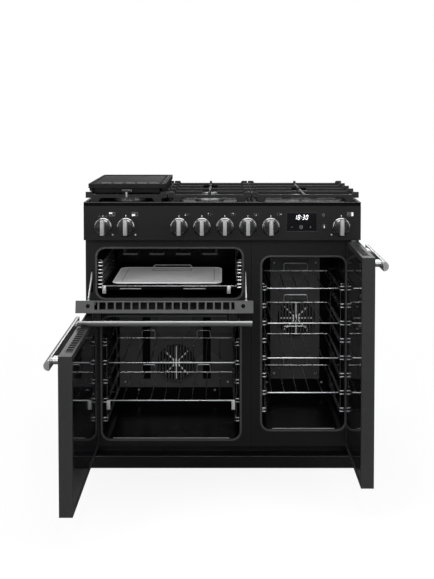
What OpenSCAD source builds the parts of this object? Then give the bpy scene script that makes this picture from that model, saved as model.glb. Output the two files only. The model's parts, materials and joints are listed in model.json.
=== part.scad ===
// Range cooker with a double oven and a separate grill, 900 mm wide, with a five-burner gas hob.
// Millimetres. X runs to the right, Y to the back, Z up. The origin is on the floor, under the
// middle of the cabinet. The doors are drawn open, as they rest, and their joints close them.

/* [Cabinet] */
// Width of the cabinet
cab_w = 900; // [880:1:960]
// Depth from the closed door faces to the back
cab_d = 608; // [600:1:640]
// Height of the hob tray's top
hob_z = 905; // [900:1:930]
// Thickness of the sheet steel panels
sheet_t = 2; // [1.5:0.1:3]
// Thickness of the front frame plate
frame_t = 3; // [2:0.1:4]
// Height of the front frame's lower edge
frame_z = 88; // [86:1:90]
// Height of the fascia's lower edge
fascia_z = 781; // [779:1:786]
// Gap below the hob tray in which the fascia ends
fascia_gap = 0.5; // [0.5:0.1:2]
// Thickness of the hob tray's rim
tray_t = 12; // [10:0.5:14]
// Width of the hob tray's flat rim
tray_rim = 16; // [10:1:24]
// Depth of the hob tray's well
tray_well = 8; // [5:0.5:9]

/* [Plinth and feet] */
// Height of the plinth's top
plinth_top = 46; // [40:1:50]
// Height of the plinth's lower edge
plinth_z = 5; // [4:1:12]
// Setback of the plinth's face from the closed doors
plinth_back = 60; // [50:1:100]
// Radius of each levelling foot
foot_r = 22; // [15:0.5:26]
// Thickness of each foot's pad
foot_pad = 8; // [6:1:12]
// Radius of each foot's threaded stem
foot_stem_r = 6; // [4:0.5:8]
// Distance of the feet from the cabinet's sides
foot_inset_x = 55; // [50:1:90]
// Distance of the feet from the plinth's face and from the back
foot_inset_y = 60; // [50:1:90]

/* [Doors] */
// Thickness of each door
door_t = 38; // [36:0.5:38]
// Gap between a closed door and the front frame
door_gap = 2; // [2:0.1:4]
// Gap between neighbouring doors
door_seam = 4; // [4:0.1:6]
// Gap between a door and the cabinet's side
door_side = 2; // [1:0.5:4]
// Height of the lower edge of the two oven doors
door_z = 92; // [91.6:0.2:92.4]
// Height of the upper edge of the left oven door
door_mid = 537; // [535:1:538]
// Height of the upper edge of the grill and right doors
door_top = 775; // [774:1:777]
// Place of the seam between the left and right doors
seam_x = 97; // [94:1:98]
// Width of the solid frame around each door's hollow
stile = 16; // [14:1:20]
// Thickness of each door's outer skin
door_skin = 3; // [2:0.5:4]
// Bevel on the inner corner beside the side hinges
door_bevel = 12; // [12:0.5:14]
// Thickness of each door's inner glass
glass_t = 4; // [3:0.5:6]
// How far each inner glass lies below the door's inner face
glass_in = 1; // [0.5:0.1:2]

/* [Hinges] */
// Distance of the side hinge axes from the doors' outer faces
hinge_y = 16; // [15.5:0.1:17]
// Distance of the side hinge axes from the doors' edges
hinge_x = 18; // [16:0.5:18.5]
// Radius of the side hinge pins
pin_r = 4; // [3:0.5:5]
// Length of each side hinge pin inside its door
pin_len = 14; // [10:1:15]
// Thickness of the side hinge brackets
bracket_t = 2.6; // [2:0.1:2.8]
// Width of the side hinge brackets
bracket_w = 16; // [12:1:18]
// Radial clearance of every hinge pin
pin_fit = 0.05; // [0.02:0.01:0.1]
// Distance of the grill door's axis from its outer face
drop_y = 20; // [19.5:0.1:20.5]
// Height of the grill door's axis above its lower edge
drop_z = 19; // [18:0.5:19.5]
// Angle at which the grill door rests when open
drop_open = 78; // [60:1:80]
// Height of the solid rail along the grill door's lower edge
drop_rail = 30; // [28:1:40]
// Bevel on the grill door's inner lower corner
drop_bevel_in = 14; // [14:0.5:15]
// Bevel on the grill door's outer lower corner
drop_bevel_out = 8; // [8:0.5:9]
// Radius of the grill door's hinge pins
drop_pin_r = 3; // [2.5:0.5:4]
// Width of the grill door's hinge brackets
drop_lug_w = 8; // [6:1:9]
// Distance of the grill door's hinge brackets from its ends
drop_lug_x = 30; // [26:1:60]
// Thickness of the grill door's flat stays
stay_t = 4; // [3:0.5:5]
// Width of the grill door's flat stays
stay_w = 15; // [12:1:16]
// Distance of the grill door's stays from its ends
stay_x = 18; // [17:0.5:20]

/* [Handles] */
// Height of a handle bar
bar_h = 28; // [24:1:28]
// Depth of a handle bar
bar_d = 16; // [12:1:16]
// Width of a handle post
post_w = 34; // [24:1:40]
// Height of a handle post
post_h = 20; // [14:1:24]
// Gap between a handle bar and its door
finger_gap = 24; // [20:1:24]
// Distance of a bar's middle from the door's upper edge
bar_down = 26; // [24:1:30]
// Distance of a bar's ends from the door's edges
bar_in = 3; // [2:1:20]
// Distance of a post's outer side from the bar's end
post_in = 42; // [30:1:60]

/* [Vents in the doors' upper edges] */
// Distance from one vent slot to the next
slot_pitch = 25.2; // [24:0.1:30]
// Width of a vent slot
slot_w = 20; // [14:0.5:21]
// Depth of a vent slot across the door's edge
slot_d = 22; // [12:0.5:22]
// Distance of the slots from the door's inner face
slot_in = 5; // [5:0.5:8]
// Thickness of the grill door's vent strip
vent_t = 3; // [2:0.5:4]
// Length of the plain end of each vent strip
vent_end = 34; // [30:1:50]

/* [Cavities] */
// Left side of the main oven's opening
main_x0 = -396; // [-398:1:-390]
// Right side of the main oven's opening
main_x1 = 57; // [50:1:58]
// Lower side of the main oven's opening
main_z0 = 113; // [110:1:118]
// Upper side of the main oven's opening
main_z1 = 519; // [512:1:521]
// Left side of the grill's opening
grill_x0 = -411; // [-413:1:-406]
// Right side of the grill's opening
grill_x1 = 64; // [60:1:66]
// Lower side of the grill's opening
grill_z0 = 584; // [582:1:586]
// Upper side of the grill's opening
grill_z1 = 746; // [740:1:750]
// Left side of the tall oven's opening
tall_x0 = 133; // [131:1:137]
// Right side of the tall oven's opening
tall_x1 = 405; // [400:1:407]
// Lower side of the tall oven's opening
tall_z0 = 145; // [125:1:148]
// Upper side of the tall oven's opening
tall_z1 = 718; // [712:1:735]
// Corner radius of the openings
open_r = 26; // [15:1:36]
// Depth of the two ovens
oven_d = 400; // [390:1:440]
// Depth of the grill
grill_d = 400; // [390:1:440]
// Thickness of the enamelled cavity walls
cavity_t = 2; // [1.5:0.1:3]
// Width of each door seal
seal_w = 8; // [6:0.5:8]
// Clearance between a seal and the closed door
seal_gap = 0.3; // [0.2:0.05:0.5]

/* [Shelves] */
// Radius of the ladder wires along the walls
rung_r = 2.8; // [2.6:0.1:2.9]
// Radius of the upright ladder wires
upright_r = 3; // [2.8:0.1:3.2]
// Radius of the shelves' side wires
shelf_r = 2.2; // [1.8:0.1:2.3]
// Radius of the shelves' cross wires
cross_r = 1.6; // [1.2:0.1:2]
// Height from one pair of rungs to the next beside the grill
grill_pitch = 24; // [20:1:26]
// Number of rung pairs beside the grill
grill_rungs = 4; // [2:1:4]
// Height between the two rungs of a pair
rung_gap = 11; // [10.6:0.1:13]
// Distance of the rungs from the cavity's walls
rung_in = 14; // [10:0.5:18]
// Height of the main oven's lowest rung pair
main_rung_z = 174.5; // [170:0.5:180]
// Height from one rung pair to the next in the main oven
main_pitch = 63.5; // [60:0.5:66]
// Number of rung pairs in the main oven
main_rungs = 5; // [5:1:5]
// Height of the tall oven's lowest rung pair
tall_rung_z = 206; // [200:0.5:212]
// Height from one rung pair to the next in the tall oven
tall_pitch = 58.2; // [55:0.1:60]
// Number of rung pairs in the tall oven
tall_rungs = 8; // [8:1:8]
// Depth of each shelf
shelf_d = 330; // [280:1:350]
// Distance of the shelves from the front frame
shelf_y = 10; // [8:1:20]
// Distance between the main oven shelves' cross wires
main_wire = 47; // [30:1:60]
// Distance between the tall oven shelves' cross wires
tall_wire = 43; // [30:1:60]
// Height of the upstand at a shelf's back
upstand_h = 30; // [20:1:36]
// Width of the upstand on a main oven shelf
main_loop_w = 48; // [30:1:60]
// Width of the upstand on a tall oven shelf
tall_loop_w = 86; // [60:1:100]
// Height of the runner tab at the front of the lower main shelf
tab_h = 30; // [20:1:40]
// Width of a runner tab
tab_w = 12; // [10:1:13]

/* [Grill carriage] */
// Height of the carriage's side wires
carriage_z = 622; // [618:1:628]
// Depth of the carriage
carriage_d = 350; // [300:1:360]
// Distance of the carriage from the front frame
carriage_y = 6; // [5:1:20]
// Clearance between the pan's walls and the carriage's wires
pan_gap = 4; // [2:0.5:8]
// Depth of the grill pan
pan_h = 16; // [12:1:18]
// Wall of the grill pan
pan_t = 1.5; // [1:0.1:2.5]
// Width of the pan's rim
pan_rim = 8; // [6.5:0.5:9]
// Width of the trivet plate in the pan
trivet_w = 366; // [340:1:370]
// Depth of the trivet plate in the pan
trivet_d = 300; // [240:1:310]
// Thickness of the trivet plate
trivet_t = 3; // [2:0.5:4]
// Height of the trivet's feet
trivet_foot = 17; // [14:0.5:18]
// Radius of the trivet's feet
trivet_foot_r = 5; // [4:0.5:7]
// Distance of the trivet from the pan's front wall
trivet_in = 10; // [6:1:20]
// Distance of the trivet from the pan's left wall
trivet_side = 22; // [16:1:26]

/* [Fascia and controls] */
// Height of the knobs' axes
knob_z = 825; // [822:1:838]
// Place of the grill knob
knob_grill_x = -387; // [-392:1:-384]
// Place of the main oven knob
knob_main_x = -313; // [-318:1:-306]
// Place of the first hob knob
knob_hob_x = -140.5; // [-150:0.5:-135]
// Distance from one hob knob to the next
knob_pitch = 74.6; // [72:0.1:76]
// Place of the tall oven knob
knob_tall_x = 386.5; // [384:0.5:392]
// Radius of a knob's skirt
knob_r = 24; // [20:0.5:25]
// Depth of a knob's skirt
knob_d = 14; // [10:0.5:18]
// Width of a knob's grip bar
grip_w = 12; // [8:0.5:16]
// Height of a knob's grip bar
grip_h = 50; // [44:1:54]
// Depth of a knob's grip bar in front of the skirt
grip_d = 18; // [12:0.5:24]
// Radius of a knob's shaft
shaft_r = 4; // [3:0.5:5]
// Length of a knob's shaft inside its control
shaft_in = 16; // [10:1:18]
// Radial clearance of a shaft in its control
shaft_fit = 0.05; // [0.02:0.01:0.1]
// Outer radius of a knob's chrome collar
collar_r = 30; // [29:0.5:32]
// Depth of a knob's chrome collar
collar_d = 8; // [4:0.5:12]
// Clearance between a knob and its collar
collar_gap = 1; // [0.5:0.1:2]
// Depth of the fascia casing
fascia_d = 40; // [36:1:42]
// Left side of the clock's window
clock_x0 = 210; // [200:1:214]
// Width of the clock's window
clock_w = 97; // [80:1:100]
// Height of the clock's window
clock_h = 60; // [50:1:64]
// Height of the clock window's middle
clock_z = 840; // [836:1:844]
// Place of the light button
button_x = 331; // [326:1:334]
// Radius of the light button
button_r = 6; // [4:0.5:7]
// Travel of the light button
button_in = 2; // [1:0.5:3]
// Clearance around the light button
button_gap = 0.5; // [0.3:0.1:1]
// Size of a gas tap's body
tap_w = 30; // [24:1:36]
// Depth of a gas tap's body
tap_d = 40; // [24:1:48]
// Size of an oven control's body
control_w = 44; // [30:1:50]
// Depth of an oven control's body
control_d = 32; // [24:1:40]
// Radius of the gas rail
rail_r = 9; // [7:0.5:11]
// Radius of the gas inlet's thread at the back
inlet_r = 10.5; // [8:0.5:12]
// Free length of the gas inlet behind the cabinet
inlet_out = 18; // [12:1:30]

/* [Hob] */
// Gap between the burners' caps and the pan supports' bars
grate_over = 1; // [1:0.5:6]
// Height of a pan support's bars
bar_tall = 11; // [8:1:14]
// Width of a pan support's bars
grate_w = 8; // [6:0.5:10]
// Length of the feet at the ends of each bar
grate_foot = 20; // [12:1:26]
// Height of the raised ends above the bars
grate_up = 8.5; // [5:0.5:10]
// Width of the stop for the griddle on the left pan support
stop_w = 31; // [20:1:40]
// Height of the stop's head
stop_h = 6; // [4:0.5:8]
// Gap under a pan support's feet
grate_gap = 0.3; // [0.2:0.1:0.5]
// Left end of the left pan support
grate_x0 = -448; // [-449:1:-440]
// Seam between the left and middle pan supports
grate_x1 = -180; // [-186:1:-176]
// Seam between the middle and right pan supports
grate_x2 = 95; // [88:1:98]
// Right end of the right pan support
grate_x3 = 448; // [440:1:449]
// Gap between neighbouring pan supports
grate_seam = 3; // [2:0.5:6]
// Front of the pan supports, behind the closed doors
grate_y0 = 34; // [20:1:40]
// Depth of the pan supports
grate_d = 462; // [440:1:480]
// Radius left free over each burner
burner_clear = 26; // [20:1:34]
// Distance of the front burners from the closed doors
burner_front = 165; // [150:1:175]
// Distance of the rear burners from the closed doors
burner_rear = 385; // [370:1:400]
// Radius of the large burner on the right
wok_r = 62; // [50:1:66]
// Radius of the burners at the front
front_r = 47; // [40:1:50]
// Radius of the burners at the rear
rear_r = 35; // [28:1:38]
// Height of a burner's base above the tray's well
base_h = 7; // [6:0.5:9]
// Height of a burner's crown
crown_h = 7; // [5:0.5:9]
// Height of a burner's cap
cap_h = 3.5; // [3:0.5:5.5]
// Margin of the base around a burner's crown
base_rim = 4; // [2:0.5:6]
// Margin of a burner's cap inside its crown
cap_in = 4; // [2:0.5:8]
// Depth of a burner's mixing cup below the tray
cup_h = 30; // [20:1:36]
// Radius of a burner's mixing cup
cup_r = 18; // [12:0.5:20]
// Depth of the vent trim along the hob's back
trim_d = 80; // [60:1:90]
// Height of the vent trim along the hob's back
trim_h = 13; // [8:1:16]
// Width of a slot in the vent trim
trim_slot = 8; // [5:0.5:10]
// Distance from one slot in the vent trim to the next
trim_pitch = 24; // [18:1:40]

/* [Griddle] */
// Distance of the griddle from the ends of its pan support
griddle_in = 4; // [2:1:20]
// Distance of the griddle's front from the closed doors
griddle_y0 = 62; // [54:1:70]
// Depth of the griddle
griddle_d = 417; // [380:1:420]
// Thickness of the griddle
griddle_t = 15; // [12:0.5:18]
// Height of the griddle's runners on its pan support
griddle_leg = 9; // [6:0.5:10]
// Width of the griddle's runners
runner_w = 10; // [6:1:14]
// Depth of the skirt under the griddle
skirt_h = 15; // [10:0.5:15]
// Distance of the skirt from the griddle's ends
skirt_in = 22; // [20:1:26]
// Distance of the skirt from the griddle's front and back
skirt_y = 6; // [4:1:10]
// Thickness of the griddle's skirt
skirt_t = 4; // [3:0.5:6]
// Width of the griddle's raised rim
griddle_rim = 10; // [6:1:14]
// Depth of the griddle's surface below its rim
griddle_low = 3; // [2:0.5:5]
// Width of the griddle's drip channel
groove_w = 14; // [8:1:20]
// Depth of the griddle's drip channel
groove_d = 4; // [2:0.5:5]
// Corner radius of the griddle
griddle_r = 10; // [4:1:20]

/* [Oven fans and heating elements] */
// Radius of a fan cover's round grille
fan_grille_r = 74; // [60:1:78]
// Width of a slot in the fan covers
fan_slot = 5; // [3:0.5:8]
// Distance from one slot in the fan covers to the next
fan_pitch = 11; // [9:0.5:16]
// Distance of a fan cover from the cavity's back wall
fan_box = 34; // [30:1:44]
// Distance of the main oven's fan cover from the cavity's walls
cover_in = 16; // [10:1:60]
// Place of the main oven's fan
main_fan_x = -171; // [-180:1:-160]
// Height of the main oven's fan
main_fan_z = 262; // [250:1:280]
// Place of the tall oven's fan
tall_fan_x = 274; // [262:1:276]
// Height of the tall oven's fan
tall_fan_z = 429; // [410:1:450]
// Radius of a fan's wheel
fan_r = 62; // [50:1:64]
// Number of blades on a fan
fan_blades = 8; // [5:1:12]
// Depth of a fan's blades
blade_d = 16; // [10:1:18]
// Thickness of a fan's blades
blade_t = 2; // [1.5:0.1:3]
// Radius of a fan motor's shaft
motor_shaft_r = 3; // [2.5:0.5:4]
// Radius of a fan motor
motor_r = 36; // [28:1:44]
// Depth of a fan motor behind the cavity
motor_d = 48; // [36:1:60]
// Radius of a heating element's tube
element_r = 3.2; // [2.5:0.1:4]
// Radius of the ring elements around the fans
element_ring = 72; // [71:1:78]
// Distance of the grill element below the cavity's roof
element_down = 22; // [16:1:30]
// Distance between the grill element's passes
element_pitch = 44; // [30:1:60]
// Number of passes of the grill element
element_passes = 8; // [8:2:8]

/* [Hidden] */

eps = 0.01;
wire_fn = 8;
round_fn = 64;
tube_fn = 16;
right_angle = 90;
half_w = cab_w / 2;
front_y = -cab_d / 2;
back_y = cab_d / 2;
frame_y = front_y + door_t + door_gap;
frame_back = frame_y + frame_t;
side_x = half_w - hinge_x - door_side;
axis_y = front_y + hinge_y;
left_x0 = -half_w + door_side;
left_x1 = seam_x - door_seam / 2;
right_x0 = seam_x + door_seam / 2;
left_w = left_x1 - left_x0;
right_w = half_w - door_side - right_x0;
drop_z0 = door_mid + door_seam;
drop_axis_y = front_y + drop_y;
drop_axis_z = drop_z0 + drop_z;
well_z = hob_z - tray_well;
cyan_black = [0.09, 0.09, 0.1];
enamel = [0.05, 0.05, 0.06];
chrome = [0.8, 0.8, 0.82];
iron = [0.13, 0.13, 0.14];
steel = [0.6, 0.6, 0.62];

full_turn = 360;
glass_gap = 0.3;
seat_gap = 0.3;
main_opening = [main_x0, main_x1, main_z0, main_z1];
grill_opening = [grill_x0, grill_x1, grill_z0, grill_z1];
tall_opening = [tall_x0, tall_x1, tall_z0, tall_z1];
openings = [main_opening, grill_opening, tall_opening];
main_fan_at = [main_fan_x, main_fan_z];
tall_fan_at = [tall_fan_x, tall_fan_z];
// Seals and ladders
seal_t = door_gap - seal_gap;
seal_lip = 1;
upright_off = upright_r + (rung_r + shelf_r) / 2;
upright_in = 30;
stud_in = 2;
stud_z = rung_gap - stud_in;
wall_y = frame_back + oven_d;
cover_y = wall_y - fan_box;
rung_front_gap = 8;
rung_back_gap = 6;
rung_y0 = frame_back + rung_front_gap;
rung_y1 = cover_y - rung_back_gap;
// Fans
hub_gap = 6;
hub_y = cover_y + hub_gap;
hub_wall = 2;
hub_r = 12;
hub_d = blade_d + blade_t;
element_gap = 14;
element_y = cover_y + element_gap;
element_leg = 30;
element_in = 30;
shaft_gap = 2;
shaft_hole_r = motor_shaft_r + shaft_gap;
fan_slots = floor((fan_grille_r - fan_slot) / fan_pitch);
cover_low = 60;
tall_cover_in = 45;
main_cover = [main_x0 + cover_in, main_x1 - cover_in, main_z0 + cover_low, main_z1 - cover_in];
tall_cover = [tall_x0 + tall_cover_in, tall_x1 - tall_cover_in, tall_z0 + cover_low,
    tall_z1 - cover_low];
// Feet and plinth
foot_xs = [-half_w + foot_inset_x, half_w - foot_inset_x];
foot_ys = [front_y + plinth_back + foot_inset_y, -front_y - plinth_back - foot_inset_y];
plinth_ledge = 49;
// Fascia and controls
hob_knob_xs = [for (i = [0 : 4]) knob_hob_x + i * knob_pitch];
knob_xs = concat([knob_grill_x, knob_main_x], hob_knob_xs, [knob_tall_x]);
knob_lift = 0.5;
grip_root = 2;
control_back = 13;
control_y = front_y + control_back;
button_out = 4;
button_rim = 2.5;
switch_w = 16;
clock_lip = 4;
inlet_x = 330;
inlet_gap = 1;
inlet_hole_r = inlet_r + inlet_gap;
// Hob
cap_top = well_z + base_h + crown_h + cap_h;
grate_z = cap_top + grate_over + bar_tall;
left_burner_x = (grate_x0 + grate_x1) / 2;
middle_burner_x = (grate_x1 + grate_x2) / 2;
right_burner_x = (grate_x2 + grate_x3) / 2;
burners = [[left_burner_x, front_y + burner_front, front_r],
    [left_burner_x, front_y + burner_rear, rear_r],
    [middle_burner_x, front_y + burner_front, front_r],
    [middle_burner_x, front_y + burner_rear, rear_r],
    [right_burner_x, front_y + (burner_front + burner_rear) / 2, wok_r]];
bar_ys = [for (y = [grate_y0, burner_front - grate_w / 2, (burner_front + burner_rear - grate_w) / 2,
    burner_rear - grate_w / 2, grate_y0 + grate_d - grate_w]) front_y + y];
last_bar_y = bar_ys[len(bar_ys) - 1];
grate_back_y = last_bar_y + grate_w - grate_foot;
stop_d = 12;
runner_in = 4;
grate_ramp = 4;
foot_in = 18;
trim_slot_in = 14;
trim_slots = floor((half_w - trim_slot_in - trim_slot) / trim_pitch);
// Doors and hinges
drop_h = door_top - drop_axis_z;
drop_vent_end = 56;
boss_h = 28;
boss_x = 16;
notch_h = 6;
notch_r = 11.5;
bracket_nose = 6;
bracket_gap = 0.8;
lug_r = 6;
lug_clear = 11;
lug_pin_out = 8;
lug_pin_l = drop_lug_w + 2 * lug_pin_out;
pin_side = 1;
lug_xs = [left_x0 + drop_lug_x, left_x1 - drop_lug_x];
stay_xs = [left_x0 + stay_x, left_x1 - stay_x];
stay_root = 60;
stay_foot = 5;
stay_foot_t = 1.5;
stay_web = 9.6;
stay_tilt = 38;
stay_l = 113;
stay_side = 1.5;
stay_slot_low = 42;
stay_slot_high = 116;
stay_slot_w = stay_t + 2 * stay_side;
stay_slot_z0 = drop_axis_z + stay_slot_low;
stay_slot_z1 = drop_axis_z + stay_slot_high;
// Handles
bar_round = (pow(bar_h / 2, 2) + pow(bar_d, 2)) / (2 * bar_d);
post_root = 3;
post_rim = 2;
// Shelves and grill carriage
shelf_fill = 0.98;
main_lower = 1;
main_upper = 3;
tall_levels = [1, 3, 5, 7];
main_loop_in = 125;
tab_y = 4;
carriage_x0 = grill_x0 + rung_in;
carriage_x1 = grill_x1 - rung_in;
pan_y0 = frame_y + carriage_y;
pan_z = carriage_z + shelf_r;
carriage_tab = 25;
tab_up = 2;
tab_left = 1;
tab_right = 22;
trivet_r = 26;

// A box from its two opposite corners
module span(low, high) {
    translate(low) cube(high - low);
}

// A flat rectangle with round corners, from its lower left corner
module round_rect(w, h, r) {
    translate([r, 0]) square([w - 2 * r, h]);
    translate([0, r]) square([w, h - 2 * r]);
    for (x = [r, w - r]) for (y = [r, h - r]) translate([x, y]) circle(r = r, $fn = round_fn);
}

// A round-cornered slab that stands in the XZ plane and runs back from y by d
module upright_slab(x0, x1, z0, z1, y, d, r) {
    translate([x0, y + d, z0]) rotate([right_angle, 0, 0])
        linear_extrude(d) round_rect(x1 - x0, z1 - z0, r);
}

// Wires along each axis, from a point and a length
module wire_x(p, l, r) {
    translate(p) rotate([0, right_angle, 0]) cylinder(r = r, h = l, $fn = wire_fn);
}

module wire_y(p, l, r) {
    translate(p) rotate([-right_angle, 0, 0]) cylinder(r = r, h = l, $fn = wire_fn);
}

module wire_z(p, l, r) {
    translate(p) cylinder(r = r, h = l, $fn = wire_fn);
}

// A true round rod that runs back along Y
module rod_y(p, l, r) {
    translate(p) rotate([-right_angle, 0, 0]) cylinder(r = r, h = l, $fn = round_fn);
}

// ---- Casing ----
module side_panels() {
    color(cyan_black) for (side = [-1, 1])
        span([side * half_w - (side > 0 ? sheet_t : 0), frame_back, plinth_top + eps],
             [side * half_w + (side > 0 ? 0 : sheet_t), back_y, hob_z - tray_t]);
}

module back_panel() {
    color(steel) difference() {
        span([-half_w + sheet_t, back_y - sheet_t, frame_z],
             [half_w - sheet_t, back_y, hob_z - tray_t]);
        rod_y([inlet_x, back_y - sheet_t - eps, knob_z], sheet_t + 2 * eps, inlet_hole_r);
    }
}

module base_panel() {
    color(steel) difference() {
        span([-half_w + sheet_t, frame_back, frame_z],
             [half_w - sheet_t, back_y - sheet_t, frame_z + sheet_t]);
        for (x = foot_xs) for (y = foot_ys) translate([x, y, frame_z - eps])
            cylinder(r = foot_stem_r, h = sheet_t + 2 * eps, $fn = round_fn);
    }
}

module front_frame() {
    color(cyan_black) difference() {
        span([-half_w, frame_y, frame_z], [half_w, frame_back, fascia_z]);
        for (o = openings)
            upright_slab(o[0], o[1], o[2], o[3], frame_y - eps, frame_t + 2 * eps, open_r);
        for (x = stay_xs)
            span([x - stay_slot_w / 2, frame_y - eps, stay_slot_z0],
                 [x + stay_slot_w / 2, frame_back + eps, stay_slot_z1]);
    }
}

// ---- Cavities ----
module cavity(o, d) {
    color(enamel) difference() {
        upright_slab(o[0] - cavity_t, o[1] + cavity_t, o[2] - cavity_t, o[3] + cavity_t,
                     frame_back, d + cavity_t, open_r + cavity_t);
        upright_slab(o[0], o[1], o[2], o[3], frame_back - eps, d + eps, open_r);
        children();
    }
}

module shaft_hole(f) {
    rod_y([f[0], frame_back + oven_d - eps, f[1]], cavity_t + 2 * eps, shaft_hole_r);
}

module main_oven_cavity() cavity(main_opening, oven_d) shaft_hole(main_fan_at);
module grill_cavity() cavity(grill_opening, grill_d);
module tall_oven_cavity() cavity(tall_opening, oven_d) shaft_hole(tall_fan_at);

module oven_seals() {
    color(chrome) for (o = openings) difference() {
        upright_slab(o[0] - seal_w, o[1] + seal_w, o[2] - seal_w, o[3] + seal_w,
                     frame_y - seal_t, seal_t, open_r + seal_w);
        upright_slab(o[0] - seal_lip, o[1] + seal_lip, o[2] - seal_lip, o[3] + seal_lip,
                     frame_y - seal_t - eps, seal_t + 2 * eps, open_r + seal_lip);
    }
}

// Pairs of rungs on two upright wires, along one wall
module ladder(x, out, z0, pitch, count) {
    z1 = z0 + (count - 1) * pitch;
    for (y = [rung_y0 + upright_in, rung_y1 - upright_in])
        wire_z([x - out * upright_off, y, z0 - rung_gap], z1 - z0 + 2 * rung_gap, upright_r);
    for (i = [0:count - 1]) for (s = [-1, 1])
        wire_y([x, rung_y0, z0 + i * pitch + s * rung_gap / 2], rung_y1 - rung_y0, rung_r);
}

// Studs that carry a ladder on its wall
module ladder_studs(x, out, z0, pitch, count) {
    z1 = z0 + (count - 1) * pitch;
    stud_l = rung_in - upright_off;
    for (y = [rung_y0 + upright_in, rung_y1 - upright_in]) for (z = [z0 - stud_z, z1 + stud_z])
        wire_x([out > 0 ? x - rung_in : x + upright_off, y, z], stud_l, cross_r);
}

module ladder_pair(o, z0, pitch, count) {
    ladder(o[0] + rung_in, 1, z0, pitch, count);
    ladder_studs(o[0] + rung_in, 1, z0, pitch, count);
    ladder(o[1] - rung_in, -1, z0, pitch, count);
    ladder_studs(o[1] - rung_in, -1, z0, pitch, count);
}

module shelf_ladders() {
    color(chrome) {
        ladder_pair(main_opening, main_rung_z, main_pitch, main_rungs);
        ladder_pair(tall_opening, tall_rung_z, tall_pitch, tall_rungs);
        ladder_pair(grill_opening, carriage_z, grill_pitch, grill_rungs);
    }
}

// ---- Oven fans and heating elements ----
// A boxed panel on the cavity's back wall, from [x0, x1, z0, z1], with a grille over the fan
module fan_cover(b, f) {
    difference() {
        span([b[0], cover_y, b[2]], [b[1], wall_y, b[3]]);
        span([b[0] + sheet_t, cover_y + sheet_t, b[2] + sheet_t],
             [b[1] - sheet_t, wall_y + eps, b[3] - sheet_t]);
        for (i = [-fan_slots : fan_slots]) {
            reach = sqrt(pow(fan_grille_r, 2) - pow(i * fan_pitch, 2));
            upright_slab(f[0] + i * fan_pitch - fan_slot / 2, f[0] + i * fan_pitch + fan_slot / 2,
                         f[1] - reach, f[1] + reach, cover_y - eps, sheet_t + 2 * eps,
                         fan_slot / 2 - eps);
        }
    }
}

module fan_covers() {
    color(enamel) {
        fan_cover(main_cover, main_fan_at);
        fan_cover(tall_cover, tall_fan_at);
    }
}

module fan_motor(f) {
    rod_y([f[0], wall_y + cavity_t, f[1]], motor_d, motor_r);
    rod_y([f[0], hub_y + hub_wall, f[1]], wall_y + cavity_t - hub_y, motor_shaft_r);
}

module fan_motors() {
    color(steel) {
        fan_motor(main_fan_at);
        fan_motor(tall_fan_at);
    }
}

module fan(f) {
    color(steel) difference() {
        union() {
            rod_y([f[0], hub_y, f[1]], hub_d, hub_r);
            rod_y([f[0], hub_y + blade_d, f[1]], blade_t, fan_r);
            for (i = [0 : fan_blades - 1]) translate([f[0], hub_y, f[1]])
                rotate([0, i * full_turn / fan_blades, 0])
                span([-blade_t / 2, 0, hub_r - blade_t], [blade_t / 2, blade_d, fan_r - blade_t]);
        }
        rod_y([f[0], hub_y + hub_wall - eps, f[1]], hub_d, motor_shaft_r + shaft_fit);
    }
}

module main_fan() fan(main_fan_at);
module tall_fan() fan(tall_fan_at);

// A heating tube bent into a ring around a fan, with two legs to the back wall
module ring_element(f) {
    translate([f[0], element_y, f[1]]) rotate([right_angle, 0, 0])
        rotate_extrude($fn = round_fn) translate([element_ring, 0]) circle(r = element_r, $fn = tube_fn);
    for (s = [-1, 1])
        rod_y([f[0] + s * element_leg, element_y, f[1] - sqrt(pow(element_ring, 2)
              - pow(element_leg, 2))], wall_y - element_y, element_r);
}

module grill_element() {
    y0 = frame_back + element_in;
    y1 = frame_back + grill_d - element_in;
    x0 = (grill_x0 + grill_x1 - (element_passes - 1) * element_pitch) / 2;
    z = grill_z1 - element_down;
    for (i = [0 : element_passes - 1]) wire_y([x0 + i * element_pitch, y0, z], y1 - y0, element_r);
    for (i = [0 : element_passes - 2])
        wire_x([x0 + i * element_pitch, i % 2 == 0 ? y0 : y1, z], element_pitch, element_r);
    for (i = [0, element_passes - 1]) for (y = [y0 + element_leg, y1 - element_leg])
        wire_z([x0 + i * element_pitch, y, z], element_down, element_r);
}

module heating_elements() {
    color(iron) {
        ring_element(main_fan_at);
        ring_element(tall_fan_at);
        grill_element();
    }
}

// ---- Plinth and feet ----
module plinth() {
    riser_y = front_y + plinth_back + plinth_ledge;
    color(cyan_black) {
        span([-half_w + door_side, front_y + plinth_back, plinth_z],
             [half_w - door_side, front_y + plinth_back + sheet_t, plinth_top]);
        span([-half_w + door_side, front_y + plinth_back, plinth_top - sheet_t],
             [half_w - door_side, riser_y + sheet_t, plinth_top]);
        span([-half_w + door_side, riser_y, plinth_top - sheet_t],
             [half_w - door_side, riser_y + sheet_t, frame_z]);
    }
}

module feet() {
    color(iron) for (x = foot_xs) for (y = foot_ys) translate([x, y, 0]) {
        cylinder(r = foot_r, h = foot_pad, $fn = round_fn);
        cylinder(r = foot_stem_r, h = frame_z + sheet_t, $fn = round_fn);
    }
}

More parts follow.
